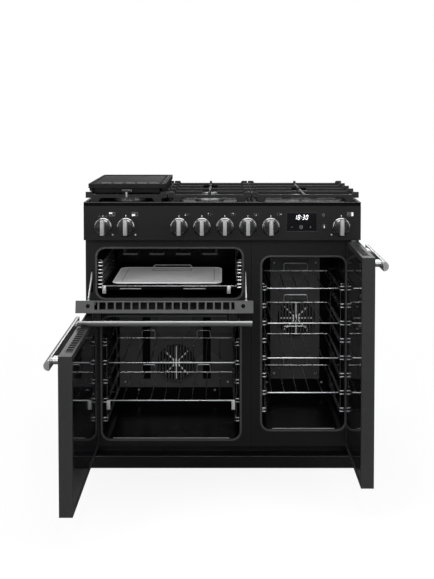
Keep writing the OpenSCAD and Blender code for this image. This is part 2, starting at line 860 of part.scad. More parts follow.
// ---- Fascia and controls ----
module fascia() {
    z1 = hob_z - tray_t - fascia_gap;
    color(cyan_black) difference() {
        span([-half_w, front_y, fascia_z], [half_w, front_y + fascia_d, z1]);
        span([-half_w + sheet_t, front_y + sheet_t, fascia_z + sheet_t],
             [half_w - sheet_t, front_y + fascia_d + eps, z1 - sheet_t]);
        for (x = knob_xs) rod_y([x, front_y - eps, knob_z], sheet_t + 2 * eps, shaft_r + collar_gap);
        rod_y([button_x, front_y - eps, knob_z], sheet_t + 2 * eps, button_r + button_gap);
        span([clock_x0, front_y - eps, clock_z - clock_h / 2],
             [clock_x0 + clock_w, front_y + sheet_t + eps, clock_z + clock_h / 2]);
    }
}

module clock_module() {
    color(enamel) {
        span([clock_x0, front_y, clock_z - clock_h / 2],
             [clock_x0 + clock_w, front_y + sheet_t, clock_z + clock_h / 2]);
        span([clock_x0 - clock_lip, front_y + sheet_t, clock_z - clock_h / 2 - clock_lip],
             [clock_x0 + clock_w + clock_lip, front_y + fascia_d - sheet_t,
              clock_z + clock_h / 2 + clock_lip]);
    }
}

module collar(x, r_in, r_out, d) {
    difference() {
        rod_y([x, front_y - d, knob_z], d, r_out);
        rod_y([x, front_y - d - eps, knob_z], d + 2 * eps, r_in);
    }
}

module knob_collars() {
    color(chrome) {
        for (x = knob_xs) collar(x, knob_r + collar_gap, collar_r, collar_d);
        collar(button_x, button_r + button_gap, button_r + button_gap + button_rim, button_rim);
    }
}

module knob(x) {
    color(steel) {
        rod_y([x, front_y - knob_lift - knob_d, knob_z], knob_d, knob_r);
        upright_slab(x - grip_w / 2, x + grip_w / 2, knob_z - grip_h / 2, knob_z + grip_h / 2,
                     front_y - knob_lift - knob_d - grip_d, grip_d + grip_root, grip_w / 2 - eps);
        rod_y([x, front_y - knob_lift - eps, knob_z], knob_lift + control_y - front_y + shaft_in,
              shaft_r);
    }
}

module grill_knob() knob(knob_grill_x);
module main_oven_knob() knob(knob_main_x);
module hob_knob_1() knob(hob_knob_xs[0]);
module hob_knob_2() knob(hob_knob_xs[1]);
module hob_knob_3() knob(hob_knob_xs[2]);
module hob_knob_4() knob(hob_knob_xs[3]);
module hob_knob_5() knob(hob_knob_xs[4]);
module tall_oven_knob() knob(knob_tall_x);

module light_button() {
    color(chrome) rod_y([button_x, front_y - button_out, knob_z],
        button_out + control_y - front_y - button_in - seat_gap, button_r);
}

// A control body with a blind bore for its knob's shaft
module control_body(x, w, d) {
    difference() {
        span([x - w / 2, control_y, knob_z - w / 2], [x + w / 2, control_y + d, knob_z + w / 2]);
        rod_y([x, control_y - eps, knob_z], shaft_in + collar_gap, shaft_r + shaft_fit);
    }
}

// A strap that carries a control on the fascia's lower edge
module control_strap(x, w) {
    span([x - w / 2, control_y, fascia_z + sheet_t],
         [x + w / 2, control_y + sheet_t, knob_z - w / 2 + sheet_t]);
}

module gas_taps() {
    color(steel) for (x = hob_knob_xs) difference() {
        union() {
            control_body(x, tap_w, tap_d);
            control_strap(x, tap_w);
        }
    }
}

module oven_controls() {
    color(enamel) {
        for (x = [knob_grill_x, knob_main_x, knob_tall_x]) {
            control_body(x, control_w, control_d);
            control_strap(x, control_w);
        }
        span([button_x - switch_w / 2, control_y, fascia_z + sheet_t],
             [button_x + switch_w / 2, control_y + switch_w, knob_z + switch_w / 2]);
    }
}

module gas_rail() {
    x0 = hob_knob_xs[0] - tap_w / 2;
    y = control_y + tap_d + rail_r;
    color(steel) {
        translate([x0, y, knob_z]) rotate([0, right_angle, 0])
            cylinder(r = rail_r, h = inlet_x - x0, $fn = round_fn);
        translate([inlet_x, y, knob_z]) sphere(r = rail_r, $fn = round_fn);
        rod_y([inlet_x, y, knob_z], back_y - sheet_t - y, rail_r);
        rod_y([inlet_x, back_y - sheet_t, knob_z], sheet_t + inlet_out, inlet_r);
    }
}

// ---- Hob ----
module hob_tray() {
    color(cyan_black) difference() {
        span([-half_w, front_y, hob_z - tray_t], [half_w, back_y, hob_z]);
        span([-half_w + tray_rim, front_y + tray_rim, well_z],
             [half_w - tray_rim, back_y - trim_d, hob_z + eps]);
        for (b = burners) translate([b[0], b[1], hob_z - tray_t - eps])
            cylinder(r = cup_r, h = tray_t, $fn = round_fn);
    }
}

module rear_vent_trim() {
    color(cyan_black) difference() {
        span([-half_w, back_y - trim_d, hob_z], [half_w, back_y, hob_z + trim_h]);
        span([-half_w + sheet_t, back_y - trim_d + sheet_t, hob_z - eps],
             [half_w - sheet_t, back_y - sheet_t, hob_z + trim_h - sheet_t]);
        for (i = [-trim_slots : trim_slots])
            span([i * trim_pitch - trim_slot / 2, back_y - trim_d + trim_slot_in, hob_z],
                 [i * trim_pitch + trim_slot / 2, back_y - trim_slot_in, hob_z + trim_h + eps]);
    }
}

module burner_base(b) {
    translate([b[0], b[1], 0]) {
        translate([0, 0, hob_z - tray_t - cup_h])
            cylinder(r = cup_r, h = cup_h + tray_t - tray_well, $fn = round_fn);
        translate([0, 0, well_z]) cylinder(r = b[2] + base_rim, h = base_h, $fn = round_fn);
        translate([0, 0, well_z + base_h]) cylinder(r = b[2], h = crown_h, $fn = round_fn);
    }
}

module burner_cap(b) {
    translate([b[0], b[1], well_z + base_h + crown_h])
        cylinder(r = b[2] - cap_in, h = cap_h, $fn = round_fn);
}

module burner_bases() {
    color(chrome) for (b = burners) burner_base(b);
}

module burner_caps() {
    color(iron) for (b = burners) burner_cap(b);
}

// The side view of one bar along X: feet below, a straight bar, and raised ends
module bar_side(l) {
    z0 = well_z + grate_gap;
    z1 = grate_z - bar_tall;
    f0 = foot_in;
    f1 = foot_in + grate_foot;
    polygon([[0, z1], [f0, z1], [f0, z0], [f1, z0], [f1 + bar_tall, z1], [l - f1 - bar_tall, z1],
             [l - f1, z0], [l - f0, z0], [l - f0, z1], [l, z1], [l, grate_z + grate_up],
             [l - grate_foot, grate_z + grate_up], [l - grate_foot - grate_ramp, grate_z],
             [grate_foot + grate_ramp, grate_z], [grate_foot, grate_z + grate_up],
             [0, grate_z + grate_up]]);
}

// A cast pan support from x0 to x1, open over the burners whose middles are given. Its middle
// bar has raised ends at each y in ups.
module pan_support(x0, x1, spots, ups) {
    xc = spots[0][0];
    color(iron) difference() {
        union() {
            for (y = bar_ys) translate([x0, y + grate_w, 0]) rotate([right_angle, 0, 0])
                linear_extrude(grate_w) bar_side(x1 - x0);
            for (x = [x0, x1 - grate_w, xc - grate_w / 2])
                span([x, bar_ys[0], grate_z - bar_tall],
                     [x + grate_w, last_bar_y + grate_w, grate_z]);
            for (y = ups) span([xc - grate_w / 2, y, grate_z - eps],
                               [xc + grate_w / 2, y + grate_foot, grate_z + grate_up]);
        }
        for (s = spots) translate([s[0], s[1], well_z]) cylinder(r = burner_clear,
            h = grate_z - well_z + grate_up + eps, $fn = round_fn);
    }
}

module pan_support_left() {
    spots = [burners[0], burners[1]];
    z = grate_z + grate_up;
    pan_support(grate_x0, grate_x1 - grate_seam / 2, spots, [bar_ys[0], grate_back_y]);
    color(iron) span([left_burner_x - stop_w / 2, bar_ys[0], z - eps],
                     [left_burner_x + stop_w / 2, bar_ys[0] + stop_d, z + stop_h]);
}
module pan_support_middle() pan_support(grate_x1 + grate_seam / 2, grate_x2 - grate_seam / 2,
                                        [burners[2], burners[3]], [bar_ys[0], grate_back_y]);
module pan_support_right() pan_support(grate_x2 + grate_seam / 2, grate_x3, [burners[4]],
                                       [grate_back_y]);

module griddle() {
    x0 = grate_x0 + griddle_in;
    x1 = grate_x1 - grate_seam / 2 - griddle_in;
    z0 = grate_z + grate_up + grate_gap + griddle_leg;
    y0 = front_y + griddle_y0;
    y1 = y0 + griddle_d;
    color(iron) {
        for (x = [x0 + runner_in, x1 - runner_in - runner_w])
            span([x, y0 + skirt_y, z0 - griddle_leg], [x + runner_w, y1 - skirt_y, z0 + eps]);
        difference() {
            span([x0 + skirt_in, y0 + skirt_y, z0 - skirt_h], [x1 - skirt_in, y1 - skirt_y, z0 + eps]);
            span([x0 + skirt_in + skirt_t, y0 + skirt_y + skirt_t, z0 - skirt_h - eps],
                 [x1 - skirt_in - skirt_t, y1 - skirt_y - skirt_t, z0]);
        }
    }
    color(iron) difference() {
        translate([x0, y0, z0]) linear_extrude(griddle_t)
            round_rect(x1 - x0, griddle_d, griddle_r);
        translate([x0 + griddle_rim, y0 + griddle_rim, z0 + griddle_t - griddle_low])
            linear_extrude(griddle_t)
            round_rect(x1 - x0 - 2 * griddle_rim, griddle_d - 2 * griddle_rim, griddle_r / 2);
        span([x1 - griddle_rim - groove_w, y0 + griddle_rim + groove_w,
              z0 + griddle_t - griddle_low - groove_d],
             [x1 - griddle_rim - groove_d, y0 + griddle_d - griddle_rim - groove_w,
              z0 + griddle_t]);
    }
}

// ---- Doors hinged at the side ----
// Drawn closed around the hinge axis at the origin, with the hinge on the left, then swung open
module open_door(side) {
    mirror([side > 0 ? 1 : 0, 0, 0]) translate([-side_x, axis_y, 0]) rotate([0, 0, -right_angle])
        children();
}

// Slots across the upper edge of a door, from x0 to x1, with a half slot at each end
module vent_slots(x0, x1, y1, z, t) {
    n = floor((x1 - x0) / slot_pitch);
    for (i = [0 : n]) {
        x = (x0 + x1) / 2 + (i - n / 2) * slot_pitch;
        span([x - (i == 0 ? 0 : slot_w / 2), y1 - slot_in - slot_d, z - eps],
             [x + (i == n ? 0 : slot_w / 2), y1 - slot_in, z + t + eps]);
    }
}

module side_door_panel(w, z1, notch) {
    x0 = -hinge_x;
    x1 = w - hinge_x;
    y0 = -hinge_y;
    y1 = door_t - hinge_y;
    difference() {
        union() {
            difference() {
                span([x0, y0, door_z], [x1, y1, z1]);
                span([x0 + stile, y0 + door_skin, door_z + stile], [x1 - stile, y1 + eps, z1 - stile]);
                vent_slots(x0 + vent_end, x1 - vent_end, y1, z1 - stile, stile);
            }
            span([x0, y0, z1 - boss_h], [boss_x, y1 - glass_in - glass_t - seat_gap, z1 - eps]);
        }
        translate([0, 0, door_z - eps]) linear_extrude(z1 - door_z + 2 * eps)
            polygon([[x0 - eps, y1 + eps], [x0 + door_bevel, y1 + eps], [x0 - eps, y1 - door_bevel]]);
        translate([0, 0, door_z - eps])
            cylinder(r = pin_r + pin_fit, h = pin_len + eps, $fn = round_fn);
        translate([0, 0, z1 - notch - pin_len])
            cylinder(r = pin_r + pin_fit, h = pin_len + notch + eps, $fn = round_fn);
        if (notch > 0)
            span([x0 - eps, -notch_r, z1 - notch], [notch_r, y1 + eps, z1 + eps]);
    }
}

module side_door_glass(w, z1) {
    y1 = door_t - hinge_y - glass_in;
    span([stile - hinge_x + glass_gap, y1 - glass_t, door_z + stile + glass_gap],
         [w - hinge_x - stile - glass_gap, y1, z1 - stile - glass_gap]);
}

// The convex section of a handle bar, with its flat back on the Y axis
module bar_section() {
    intersection() {
        translate([bar_round - bar_d, 0]) circle(r = bar_round, $fn = round_fn);
        translate([-bar_d, -bar_h / 2]) square([bar_d, bar_h]);
    }
}

// A handle bar and its two posts, in front of the face at y
module handle(x0, x1, y, z) {
    color(chrome) {
        translate([x0, y - finger_gap, z]) rotate([right_angle, 0, right_angle])
            linear_extrude(x1 - x0) bar_section();
        for (x = [x0 + post_in, x1 - post_in - post_w]) {
            upright_slab(x, x + post_w, z - post_h / 2, z + post_h / 2, y - finger_gap - post_root,
                         finger_gap + post_root, post_h / 2 - eps);
            upright_slab(x - post_rim, x + post_w + post_rim, z - post_h / 2 - post_rim,
                         z + post_h / 2 + post_rim, y - post_rim, post_rim,
                         post_h / 2 + post_rim - eps);
        }
    }
}

module side_handle(w, z1) {
    handle(bar_in - hinge_x, w - hinge_x - bar_in, -hinge_y, z1 - bar_down);
}

module left_door_panel() color(cyan_black) open_door(-1) side_door_panel(left_w, door_mid, notch_h);
module left_door_glass() color(enamel) open_door(-1) side_door_glass(left_w, door_mid);
module left_door_handle() open_door(-1) side_handle(left_w, door_mid);
module right_door_panel() color(cyan_black) open_door(1) side_door_panel(right_w, door_top, 0);
module right_door_glass() color(enamel) open_door(1) side_door_glass(right_w, door_top);
module right_door_handle() open_door(1) side_handle(right_w, door_top);

// ---- Grill door ----
module open_drop() {
    translate([0, drop_axis_y, drop_axis_z]) rotate([drop_open, 0, 0]) children();
}

module along_x(l) {
    rotate([right_angle, 0, right_angle]) linear_extrude(l) children();
}

module grill_door_panel() {
    y0 = -drop_y;
    y1 = door_t - drop_y;
    color(cyan_black) open_drop() difference() {
        span([left_x0, y0, -drop_z], [left_x1, y1, drop_h - vent_t]);
        span([left_x0 + stile, y0 + door_skin, drop_rail - drop_z],
             [left_x1 - stile, y1 + eps, drop_h - vent_t - stile]);
        span([left_x0 + stile, y1 - slot_in - slot_d, drop_h - vent_t - stile - eps],
             [left_x1 - stile, y1 - slot_in, drop_h]);
        translate([left_x0 - eps, 0, 0]) along_x(left_w + 2 * eps)
            polygon([[y1 + eps, -drop_z - eps], [y1 + eps, drop_bevel_in - drop_z],
                     [y1 - drop_bevel_in, -drop_z - eps]]);
        translate([left_x0 - eps, 0, 0]) along_x(left_w + 2 * eps)
            polygon([[y0 - eps, -drop_z - eps], [y0 - eps, drop_bevel_out - drop_z],
                     [y0 + drop_bevel_out, -drop_z - eps]]);
        for (x = lug_xs) {
            span([x - drop_lug_w / 2 - pin_side, -lug_clear, -drop_z - eps],
                 [x + drop_lug_w / 2 + pin_side, y1 + eps, lug_clear]);
            translate([x - lug_pin_l / 2 - pin_side, 0, 0]) rotate([0, right_angle, 0])
                cylinder(r = drop_pin_r + pin_fit, h = lug_pin_l + 2 * pin_side, $fn = round_fn);
        }
    }
}

module grill_door_glass() {
    y1 = door_t - drop_y - glass_in;
    color(enamel) open_drop()
        span([left_x0 + stile + glass_gap, y1 - glass_t, drop_rail - drop_z + glass_gap],
             [left_x1 - stile - glass_gap, y1, drop_h - vent_t - stile - glass_gap]);
}

module grill_door_vent() {
    y1 = door_t - drop_y;
    color(iron) open_drop() difference() {
        span([left_x0, -drop_y, drop_h - vent_t], [left_x1, y1, drop_h]);
        vent_slots(left_x0 + drop_vent_end, left_x1 - drop_vent_end, y1, drop_h - vent_t, vent_t);
    }
}

module grill_door_handle() {
    open_drop() handle(left_x0 + bar_in, left_x1 - bar_in, -drop_y, drop_h - bar_down);
}

// A flat arm on each side that runs from the door's inner face back through the frame
module grill_door_stays() {
    y1 = door_t - drop_y;
    color(chrome) open_drop() for (x = stay_xs) {
        span([x - stay_foot, y1, stay_root - stay_w], [x + stay_foot, y1 + stay_foot_t, stay_root + stay_w]);
        span([x - stay_t / 2, y1, stay_root - stay_w / 2],
             [x + stay_t / 2, y1 + stay_web, stay_root + stay_w / 2]);
        translate([x - stay_t / 2, y1 + stay_web, stay_root]) rotate([stay_tilt - drop_open, 0, 0])
            span([0, -stay_w / 2, -stay_w / 2], [stay_t, stay_l, stay_w / 2]);
    }
}

// ---- Hinge brackets on the front frame ----
module hinge_bracket(side, z, up) {
    x = side * side_x;
    span([x - bracket_w / 2, axis_y - bracket_nose, z], [x + bracket_w / 2, frame_y, z + bracket_t]);
    translate([x, axis_y, up > 0 ? z : z + bracket_t - pin_len])
        cylinder(r = pin_r, h = pin_len, $fn = round_fn);
}

module hinge_brackets() {
    color(steel) {
        for (side = [-1, 1]) hinge_bracket(side, door_z - bracket_gap - bracket_t, 1);
        hinge_bracket(-1, door_mid - notch_h + bracket_gap, -1);
        hinge_bracket(1, door_top + bracket_gap, -1);
        for (x = lug_xs) {
            span([x - drop_lug_w / 2, drop_axis_y - lug_r, drop_axis_z - lug_r],
                 [x + drop_lug_w / 2, frame_y, drop_axis_z + lug_r]);
            translate([x - lug_pin_l / 2, drop_axis_y, drop_axis_z]) rotate([0, right_angle, 0])
                cylinder(r = drop_pin_r, h = lug_pin_l, $fn = round_fn);
        }
    }
}

// ---- Shelves ----
// A wire shelf between the ladders of the opening o, with its side wires at height z
module shelf(o, z, pitch, loops, loop_w) {
    x0 = o[0] + rung_in;
    x1 = o[1] - rung_in;
    y0 = frame_y + shelf_y;
    n = floor((x1 - x0) / pitch);
    for (x = [x0, x1]) wire_y([x, y0, z], shelf_d, shelf_r);
    for (y = [y0, y0 + shelf_d])
        wire_x([x0 - shelf_r, y, z], x1 - x0 + 2 * shelf_r, shelf_r);
    wire_x([x0, y0 + shelf_d / 2, z], x1 - x0, shelf_r);
    for (i = [0 : n]) wire_y([(x0 + x1) / 2 + (i - n / 2) * pitch * shelf_fill, y0 - cross_r,
                              z + shelf_r], shelf_d + 2 * cross_r, cross_r);
    for (x = loops) {
        for (s = [-1, 1]) wire_z([x + s * loop_w / 2, y0 + shelf_d, z], upstand_h, shelf_r);
        wire_x([x - loop_w / 2 - shelf_r, y0 + shelf_d, z + upstand_h], loop_w + 2 * shelf_r, shelf_r);
    }
}

module main_shelf(i) {
    color(chrome) shelf(main_opening, main_rung_z + i * main_pitch, main_wire,
        [main_x0 + main_loop_in, main_x1 - main_loop_in], main_loop_w);
}

module main_shelf_upper() main_shelf(main_upper);
module main_shelf_lower() {
    main_shelf(main_lower);
    z = main_rung_z + main_lower * main_pitch;
    color(chrome) for (x = [main_x0 + rung_in - shelf_r, main_x1 - rung_in - tab_w])
        span([x, frame_y + tab_y, z - tab_h], [x + tab_w, frame_y + shelf_y, z]);
}

module tall_shelf(i) {
    color(chrome) shelf(tall_opening, tall_rung_z + i * tall_pitch, tall_wire,
        [(tall_x0 + tall_x1) / 2], tall_loop_w);
}

module tall_shelf_1() tall_shelf(tall_levels[0]);
module tall_shelf_2() tall_shelf(tall_levels[1]);
module tall_shelf_3() tall_shelf(tall_levels[2]);
module tall_shelf_4() tall_shelf(tall_levels[3]);

// ---- Grill carriage, pan and trivet ----
module grill_carriage() {
    color(chrome) {
        for (x = [carriage_x0, carriage_x1]) wire_y([x, pan_y0, carriage_z], carriage_d, shelf_r);
        for (y = [pan_y0, pan_y0 + carriage_d]) wire_x([carriage_x0 - shelf_r, y, carriage_z],
            carriage_x1 - carriage_x0 + 2 * shelf_r, shelf_r);
        for (x = [carriage_x0 + tab_left, carriage_x1 - tab_right - tab_w])
            span([x, pan_y0 - shelf_r, carriage_z - carriage_tab],
                 [x + tab_w, pan_y0, carriage_z + tab_up]);
    }
}

module grill_pan() {
    x0 = carriage_x0 + shelf_r + pan_gap;
    x1 = carriage_x1 - shelf_r - pan_gap;
    y0 = pan_y0 + shelf_r + pan_gap;
    y1 = pan_y0 + carriage_d - shelf_r - pan_gap;
    color(enamel) difference() {
        union() {
            span([x0, y0, pan_z - pan_h], [x1, y1, pan_z + pan_t]);
            span([x0, y0 - pan_rim, pan_z], [x1, y1 + pan_rim, pan_z + pan_t]);
        }
        span([x0 + pan_t, y0 + pan_t, pan_z - pan_h + pan_t],
             [x1 - pan_t, y1 - pan_t, pan_z + pan_t + eps]);
    }
}

module grill_trivet() {
    x0 = carriage_x0 + shelf_r + pan_gap + pan_t + trivet_side;
    y0 = pan_y0 + shelf_r + pan_gap + pan_t + trivet_in;
    z0 = pan_z - pan_h + pan_t;
    color(steel) {
        translate([x0, y0, z0 + trivet_foot]) linear_extrude(trivet_t)
            round_rect(trivet_w, trivet_d, trivet_r);
        for (x = [x0 + trivet_r, x0 + trivet_w - trivet_r])
            for (y = [y0 + trivet_r, y0 + trivet_d - trivet_r]) translate([x, y, z0])
                cylinder(r = trivet_foot_r, h = trivet_foot, $fn = round_fn);
    }
}

side_panels();
back_panel();
base_panel();
front_frame();
main_oven_cavity();
grill_cavity();
tall_oven_cavity();
oven_seals();
hob_tray();
rear_vent_trim();
burner_bases();
burner_caps();
fascia();
clock_module();
knob_collars();
gas_taps();
gas_rail();
oven_controls();
plinth();
feet();
shelf_ladders();
fan_covers();
fan_motors();
heating_elements();
hinge_brackets();
left_door_panel();
left_door_glass();
left_door_handle();
right_door_panel();
right_door_glass();
right_door_handle();
grill_door_panel();
grill_door_glass();
grill_door_vent();
grill_door_handle();
grill_door_stays();
grill_knob();
main_oven_knob();
hob_knob_1();
hob_knob_2();
hob_knob_3();
hob_knob_4();
hob_knob_5();
tall_oven_knob();
light_button();
main_shelf_upper();
main_shelf_lower();
tall_shelf_1();
tall_shelf_2();
tall_shelf_3();
tall_shelf_4();
grill_carriage();
grill_pan();
grill_trivet();
griddle();
pan_support_left();
pan_support_middle();
pan_support_right();
main_fan();
tall_fan();
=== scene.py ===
# %% [markdown]
# # A range cooker with a double oven
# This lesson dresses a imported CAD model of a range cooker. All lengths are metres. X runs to
# the right, Y to the back and Z up, with the floor at zero.

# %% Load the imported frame
import json
import math

import bmesh
import bpy
from mathutils import Matrix, Vector


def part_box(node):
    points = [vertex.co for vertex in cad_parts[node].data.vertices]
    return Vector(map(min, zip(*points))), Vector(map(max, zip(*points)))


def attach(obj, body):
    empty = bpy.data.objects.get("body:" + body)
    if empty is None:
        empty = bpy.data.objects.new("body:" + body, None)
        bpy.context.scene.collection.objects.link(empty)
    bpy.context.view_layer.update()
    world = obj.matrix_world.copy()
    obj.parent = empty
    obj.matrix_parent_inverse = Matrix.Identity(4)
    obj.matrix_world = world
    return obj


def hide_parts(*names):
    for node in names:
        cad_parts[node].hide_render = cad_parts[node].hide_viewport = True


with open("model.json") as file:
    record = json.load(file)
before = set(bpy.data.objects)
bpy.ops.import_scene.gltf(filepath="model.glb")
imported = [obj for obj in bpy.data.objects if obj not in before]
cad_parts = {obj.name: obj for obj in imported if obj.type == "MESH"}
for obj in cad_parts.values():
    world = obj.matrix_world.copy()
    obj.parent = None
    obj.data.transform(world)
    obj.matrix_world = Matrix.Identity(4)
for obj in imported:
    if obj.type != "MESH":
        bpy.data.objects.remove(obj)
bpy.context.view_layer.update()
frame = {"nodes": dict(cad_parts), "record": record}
nodes = frame["nodes"]

IMAGE_H = 579


def put_in_scene(obj):
    bpy.context.scene.collection.objects.link(obj)


def box(name):
    """Lowest and highest corner of a CAD node, as vectors."""
    low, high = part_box(name)
    return Vector(low), Vector(high)


# %% [markdown]
# ## The camera
# The photograph was taken from 3 m away at chest height, with the lens shifted down, so that
# upright edges stay upright. The small tilt and the shift together give the same framing.

# %% Camera
FOCAL_PX = 927.4
CAMERA_AT = (0.0007, -3.3016, 1.2150)
CAMERA_TILT = math.radians(2.363)

camera_data = bpy.data.cameras.new("camera")
camera_data.sensor_width = 36.0
camera_data.lens = camera_data.sensor_width * FOCAL_PX / IMAGE_H
camera_data.shift_x = -0.0094
camera_data.shift_y = -0.25
camera = bpy.data.objects.new("camera", camera_data)
camera.location = CAMERA_AT
camera.rotation_euler = (math.pi / 2 - CAMERA_TILT, 0, 0)
put_in_scene(camera)
bpy.context.scene.camera = camera
print("lens", round(camera_data.lens, 2), "mm")

# %% [markdown]
# ## Light, floor and world
# A black appliance shows its shape by what it reflects. Five large soft lamps make long
# highlights on the chrome and the enamel. To the camera the world and the floor are white, with
# a faint shadow. In reflections they are darker, as in a studio with black cloth round the set.

# %% World
bpy.context.scene.view_settings.view_transform = "Standard"


def add_node(tree, kind, inputs=None, **settings):
    """A new node. inputs gives a value, or a socket to link, for inputs by name or number."""
    node = tree.nodes.new(kind)
    for key, value in settings.items():
        setattr(node, key, value)
    for key, value in (inputs or {}).items():
        if isinstance(value, bpy.types.NodeSocket):
            tree.links.new(value, node.inputs[key])
        else:
            node.inputs[key].default_value = value
    return node


def white_where_seen(tree, seen, other):
    """One shader for camera and transmission rays, and the other shader elsewhere."""
    path = add_node(tree, "ShaderNodeLightPath")
    either = add_node(tree, "ShaderNodeMath", {0: path.outputs["Is Camera Ray"],
                                               1: path.outputs["Is Transmission Ray"]},
                      operation="MAXIMUM")
    return add_node(tree, "ShaderNodeMixShader", {0: either.outputs[0], 1: other, 2: seen})


WHITE = (1, 1, 1, 1)
world = bpy.data.worlds.new("studio")
bpy.context.scene.world = world
world.use_nodes = True
sky = world.node_tree
sky.nodes.clear()
seen_white = add_node(sky, "ShaderNodeBackground", {"Color": WHITE})
dim_room = add_node(sky, "ShaderNodeBackground", {"Color": WHITE, "Strength": 0.16})
either_sky = white_where_seen(sky, seen_white.outputs[0], dim_room.outputs[0])
add_node(sky, "ShaderNodeOutputWorld", {0: either_sky.outputs[0]})

# %% Floor
FLOOR_SIZE = 16.0


def floor_material():
    """White paper to the camera with a faint shadow near the object that fades out, and darker
    paper in reflections."""
    material = bpy.data.materials.new("studio_floor")
    material.use_nodes = True
    tree = material.node_tree
    paper = tree.nodes["Principled BSDF"]
    paper.inputs["Base Color"].default_value = (0.93, 0.93, 0.93, 1)
    paper.inputs["Roughness"].default_value = 0.9
    glow = add_node(tree, "ShaderNodeEmission")
    dark_paper = add_node(tree, "ShaderNodeBsdfDiffuse", {"Color": (0.10, 0.10, 0.10, 1)})
    coords = add_node(tree, "ShaderNodeTexCoord")
    away = add_node(tree, "ShaderNodeVectorMath", {0: coords.outputs["Object"]},
                    operation="LENGTH")
    fade = add_node(tree, "ShaderNodeMapRange", {
        "Value": away.outputs["Value"], "From Min": 0.7, "From Max": 2.2, "To Min": 0.86,
        "To Max": 1.0})
    faint = add_node(tree, "ShaderNodeMixShader", {
        0: fade.outputs[0], 1: paper.outputs[0], 2: glow.outputs[0]})
    path = add_node(tree, "ShaderNodeLightPath")
    mirrored = add_node(tree, "ShaderNodeMixShader", {
        0: path.outputs["Is Glossy Ray"], 1: paper.outputs[0], 2: dark_paper.outputs[0]})
    seen = white_where_seen(tree, faint.outputs[0], mirrored.outputs[0])
    tree.links.new(seen.outputs[0], tree.nodes["Material Output"].inputs[0])
    return material


floor_mesh = bpy.data.meshes.new("studio_floor")
half = FLOOR_SIZE / 2
floor_mesh.from_pydata([(-half, -half, 0), (half, -half, 0), (half, half, 0), (-half, half, 0)],
                       [], [(0, 1, 2, 3)])
floor_mesh.materials.append(floor_material())
floor = bpy.data.objects.new("studio_floor", floor_mesh)
put_in_scene(floor)

# %% Lamps
def softbox(name, at, aim, size, power):
    """A square area lamp that looks at a point."""
    data = bpy.data.lights.new(name, "AREA")
    data.shape = "RECTANGLE"
    data.size, data.size_y = size
    data.energy = power
    lamp = bpy.data.objects.new(name, data)
    lamp.location = at
    lamp.rotation_euler = (Vector(aim) - Vector(at)).to_track_quat("-Z", "Y").to_euler()
    put_in_scene(lamp)


softbox("top_lamp", (0, -0.6, 3.4), (0, 0, 0.5), (3.2, 2.4), 95)
softbox("left_lamp", (-2.8, -2.6, 1.7), (0, -0.3, 0.5), (1.6, 2.4), 55)
softbox("right_lamp", (2.9, -2.3, 1.7), (0, -0.3, 0.5), (1.6, 2.4), 55)
softbox("front_lamp", (0, -4.6, 2.3), (0, 0, 0.5), (2.4, 1.6), 60)
softbox("back_lamp", (0, 3.6, 2.6), (0, 0, 0.5), (3.0, 2.0), 60)
print("lamps", len(bpy.data.lights))

# %% [markdown]
# ## Finishes
# Every finish starts from one helper: a Principled shader whose colour and roughness drift a
# little over the surface, with a fine bump. The numbers that stay the same all over a surface
# are set on the shader itself. The patterns read Object coordinates, which are metres here.

# %% Helper for finishes


def triple(value):
    """Three numbers from one, or from a pair that gives red and green at once and blue."""
    if isinstance(value, float):
        return (value,) * 3
    return (value[0], *value) if len(value) == 2 else value


def finish(name, dark, light, rough=(0.3, 0.4), metal=0.0, grain=60.0, bump=0.0,
           bump_scale=900.0, shine=0.5, glow=0.0, glow_tint=WHITE):
    """A procedural material. dark and light are linear colours, grain and bump_scale are
    pattern frequencies per metre, for all axes or for X, Y and Z, and bump is a depth in
    metres."""
    material = bpy.data.materials.new(name)
    material.use_nodes = True
    tree = material.node_tree
    coords = add_node(tree, "ShaderNodeTexCoord").outputs["Object"]
    stretch = add_node(tree, "ShaderNodeMapping", {"Vector": coords, "Scale": triple(grain)})
    fine = add_node(tree, "ShaderNodeTexNoise", {
        "Vector": stretch.outputs[0], "Scale": 1.0, "Detail": 3.0})
    ramp = add_node(tree, "ShaderNodeValToRGB", {0: fine.outputs["Fac"]})
    for element, position, colour in zip(ramp.color_ramp.elements, (0.3, 0.7), (dark, light)):
        element.position = position
        element.color = (*triple(colour), 1)
    broad = add_node(tree, "ShaderNodeTexNoise", {"Vector": coords, "Scale": 4.0, "Detail": 2.0})
    spread = add_node(tree, "ShaderNodeMapRange", {
        "Value": broad.outputs["Fac"], "From Min": 0.3, "From Max": 0.7, "To Min": rough[0],
        "To Max": rough[1]})
    bsdf = tree.nodes["Principled BSDF"]
    tree.links.new(ramp.outputs[0], bsdf.inputs["Base Color"])
    tree.links.new(spread.outputs[0], bsdf.inputs["Roughness"])
    for socket, value in (("Metallic", metal), ("Specular IOR Level", shine),
                          ("Emission Color", glow_tint), ("Emission Strength", glow)):
        bsdf.inputs[socket].default_value = value
    if bump:
        squeeze = add_node(tree, "ShaderNodeMapping", {
            "Vector": coords, "Scale": triple(bump_scale)})
        relief = add_node(tree, "ShaderNodeTexNoise", {
            "Vector": squeeze.outputs[0], "Scale": 1.0, "Detail": 2.0})
        height = add_node(tree, "ShaderNodeBump", {
            "Height": relief.outputs["Fac"], "Distance": bump})
        tree.links.new(height.outputs[0], bsdf.inputs["Normal"])
    return material


# %% [markdown]
# The cooker has few colours and many blacks. Powder coat is dull with a fine pebble, vitreous
# enamel is glossy with a slow waviness, cast iron is rough, and glass is a still dark mirror.

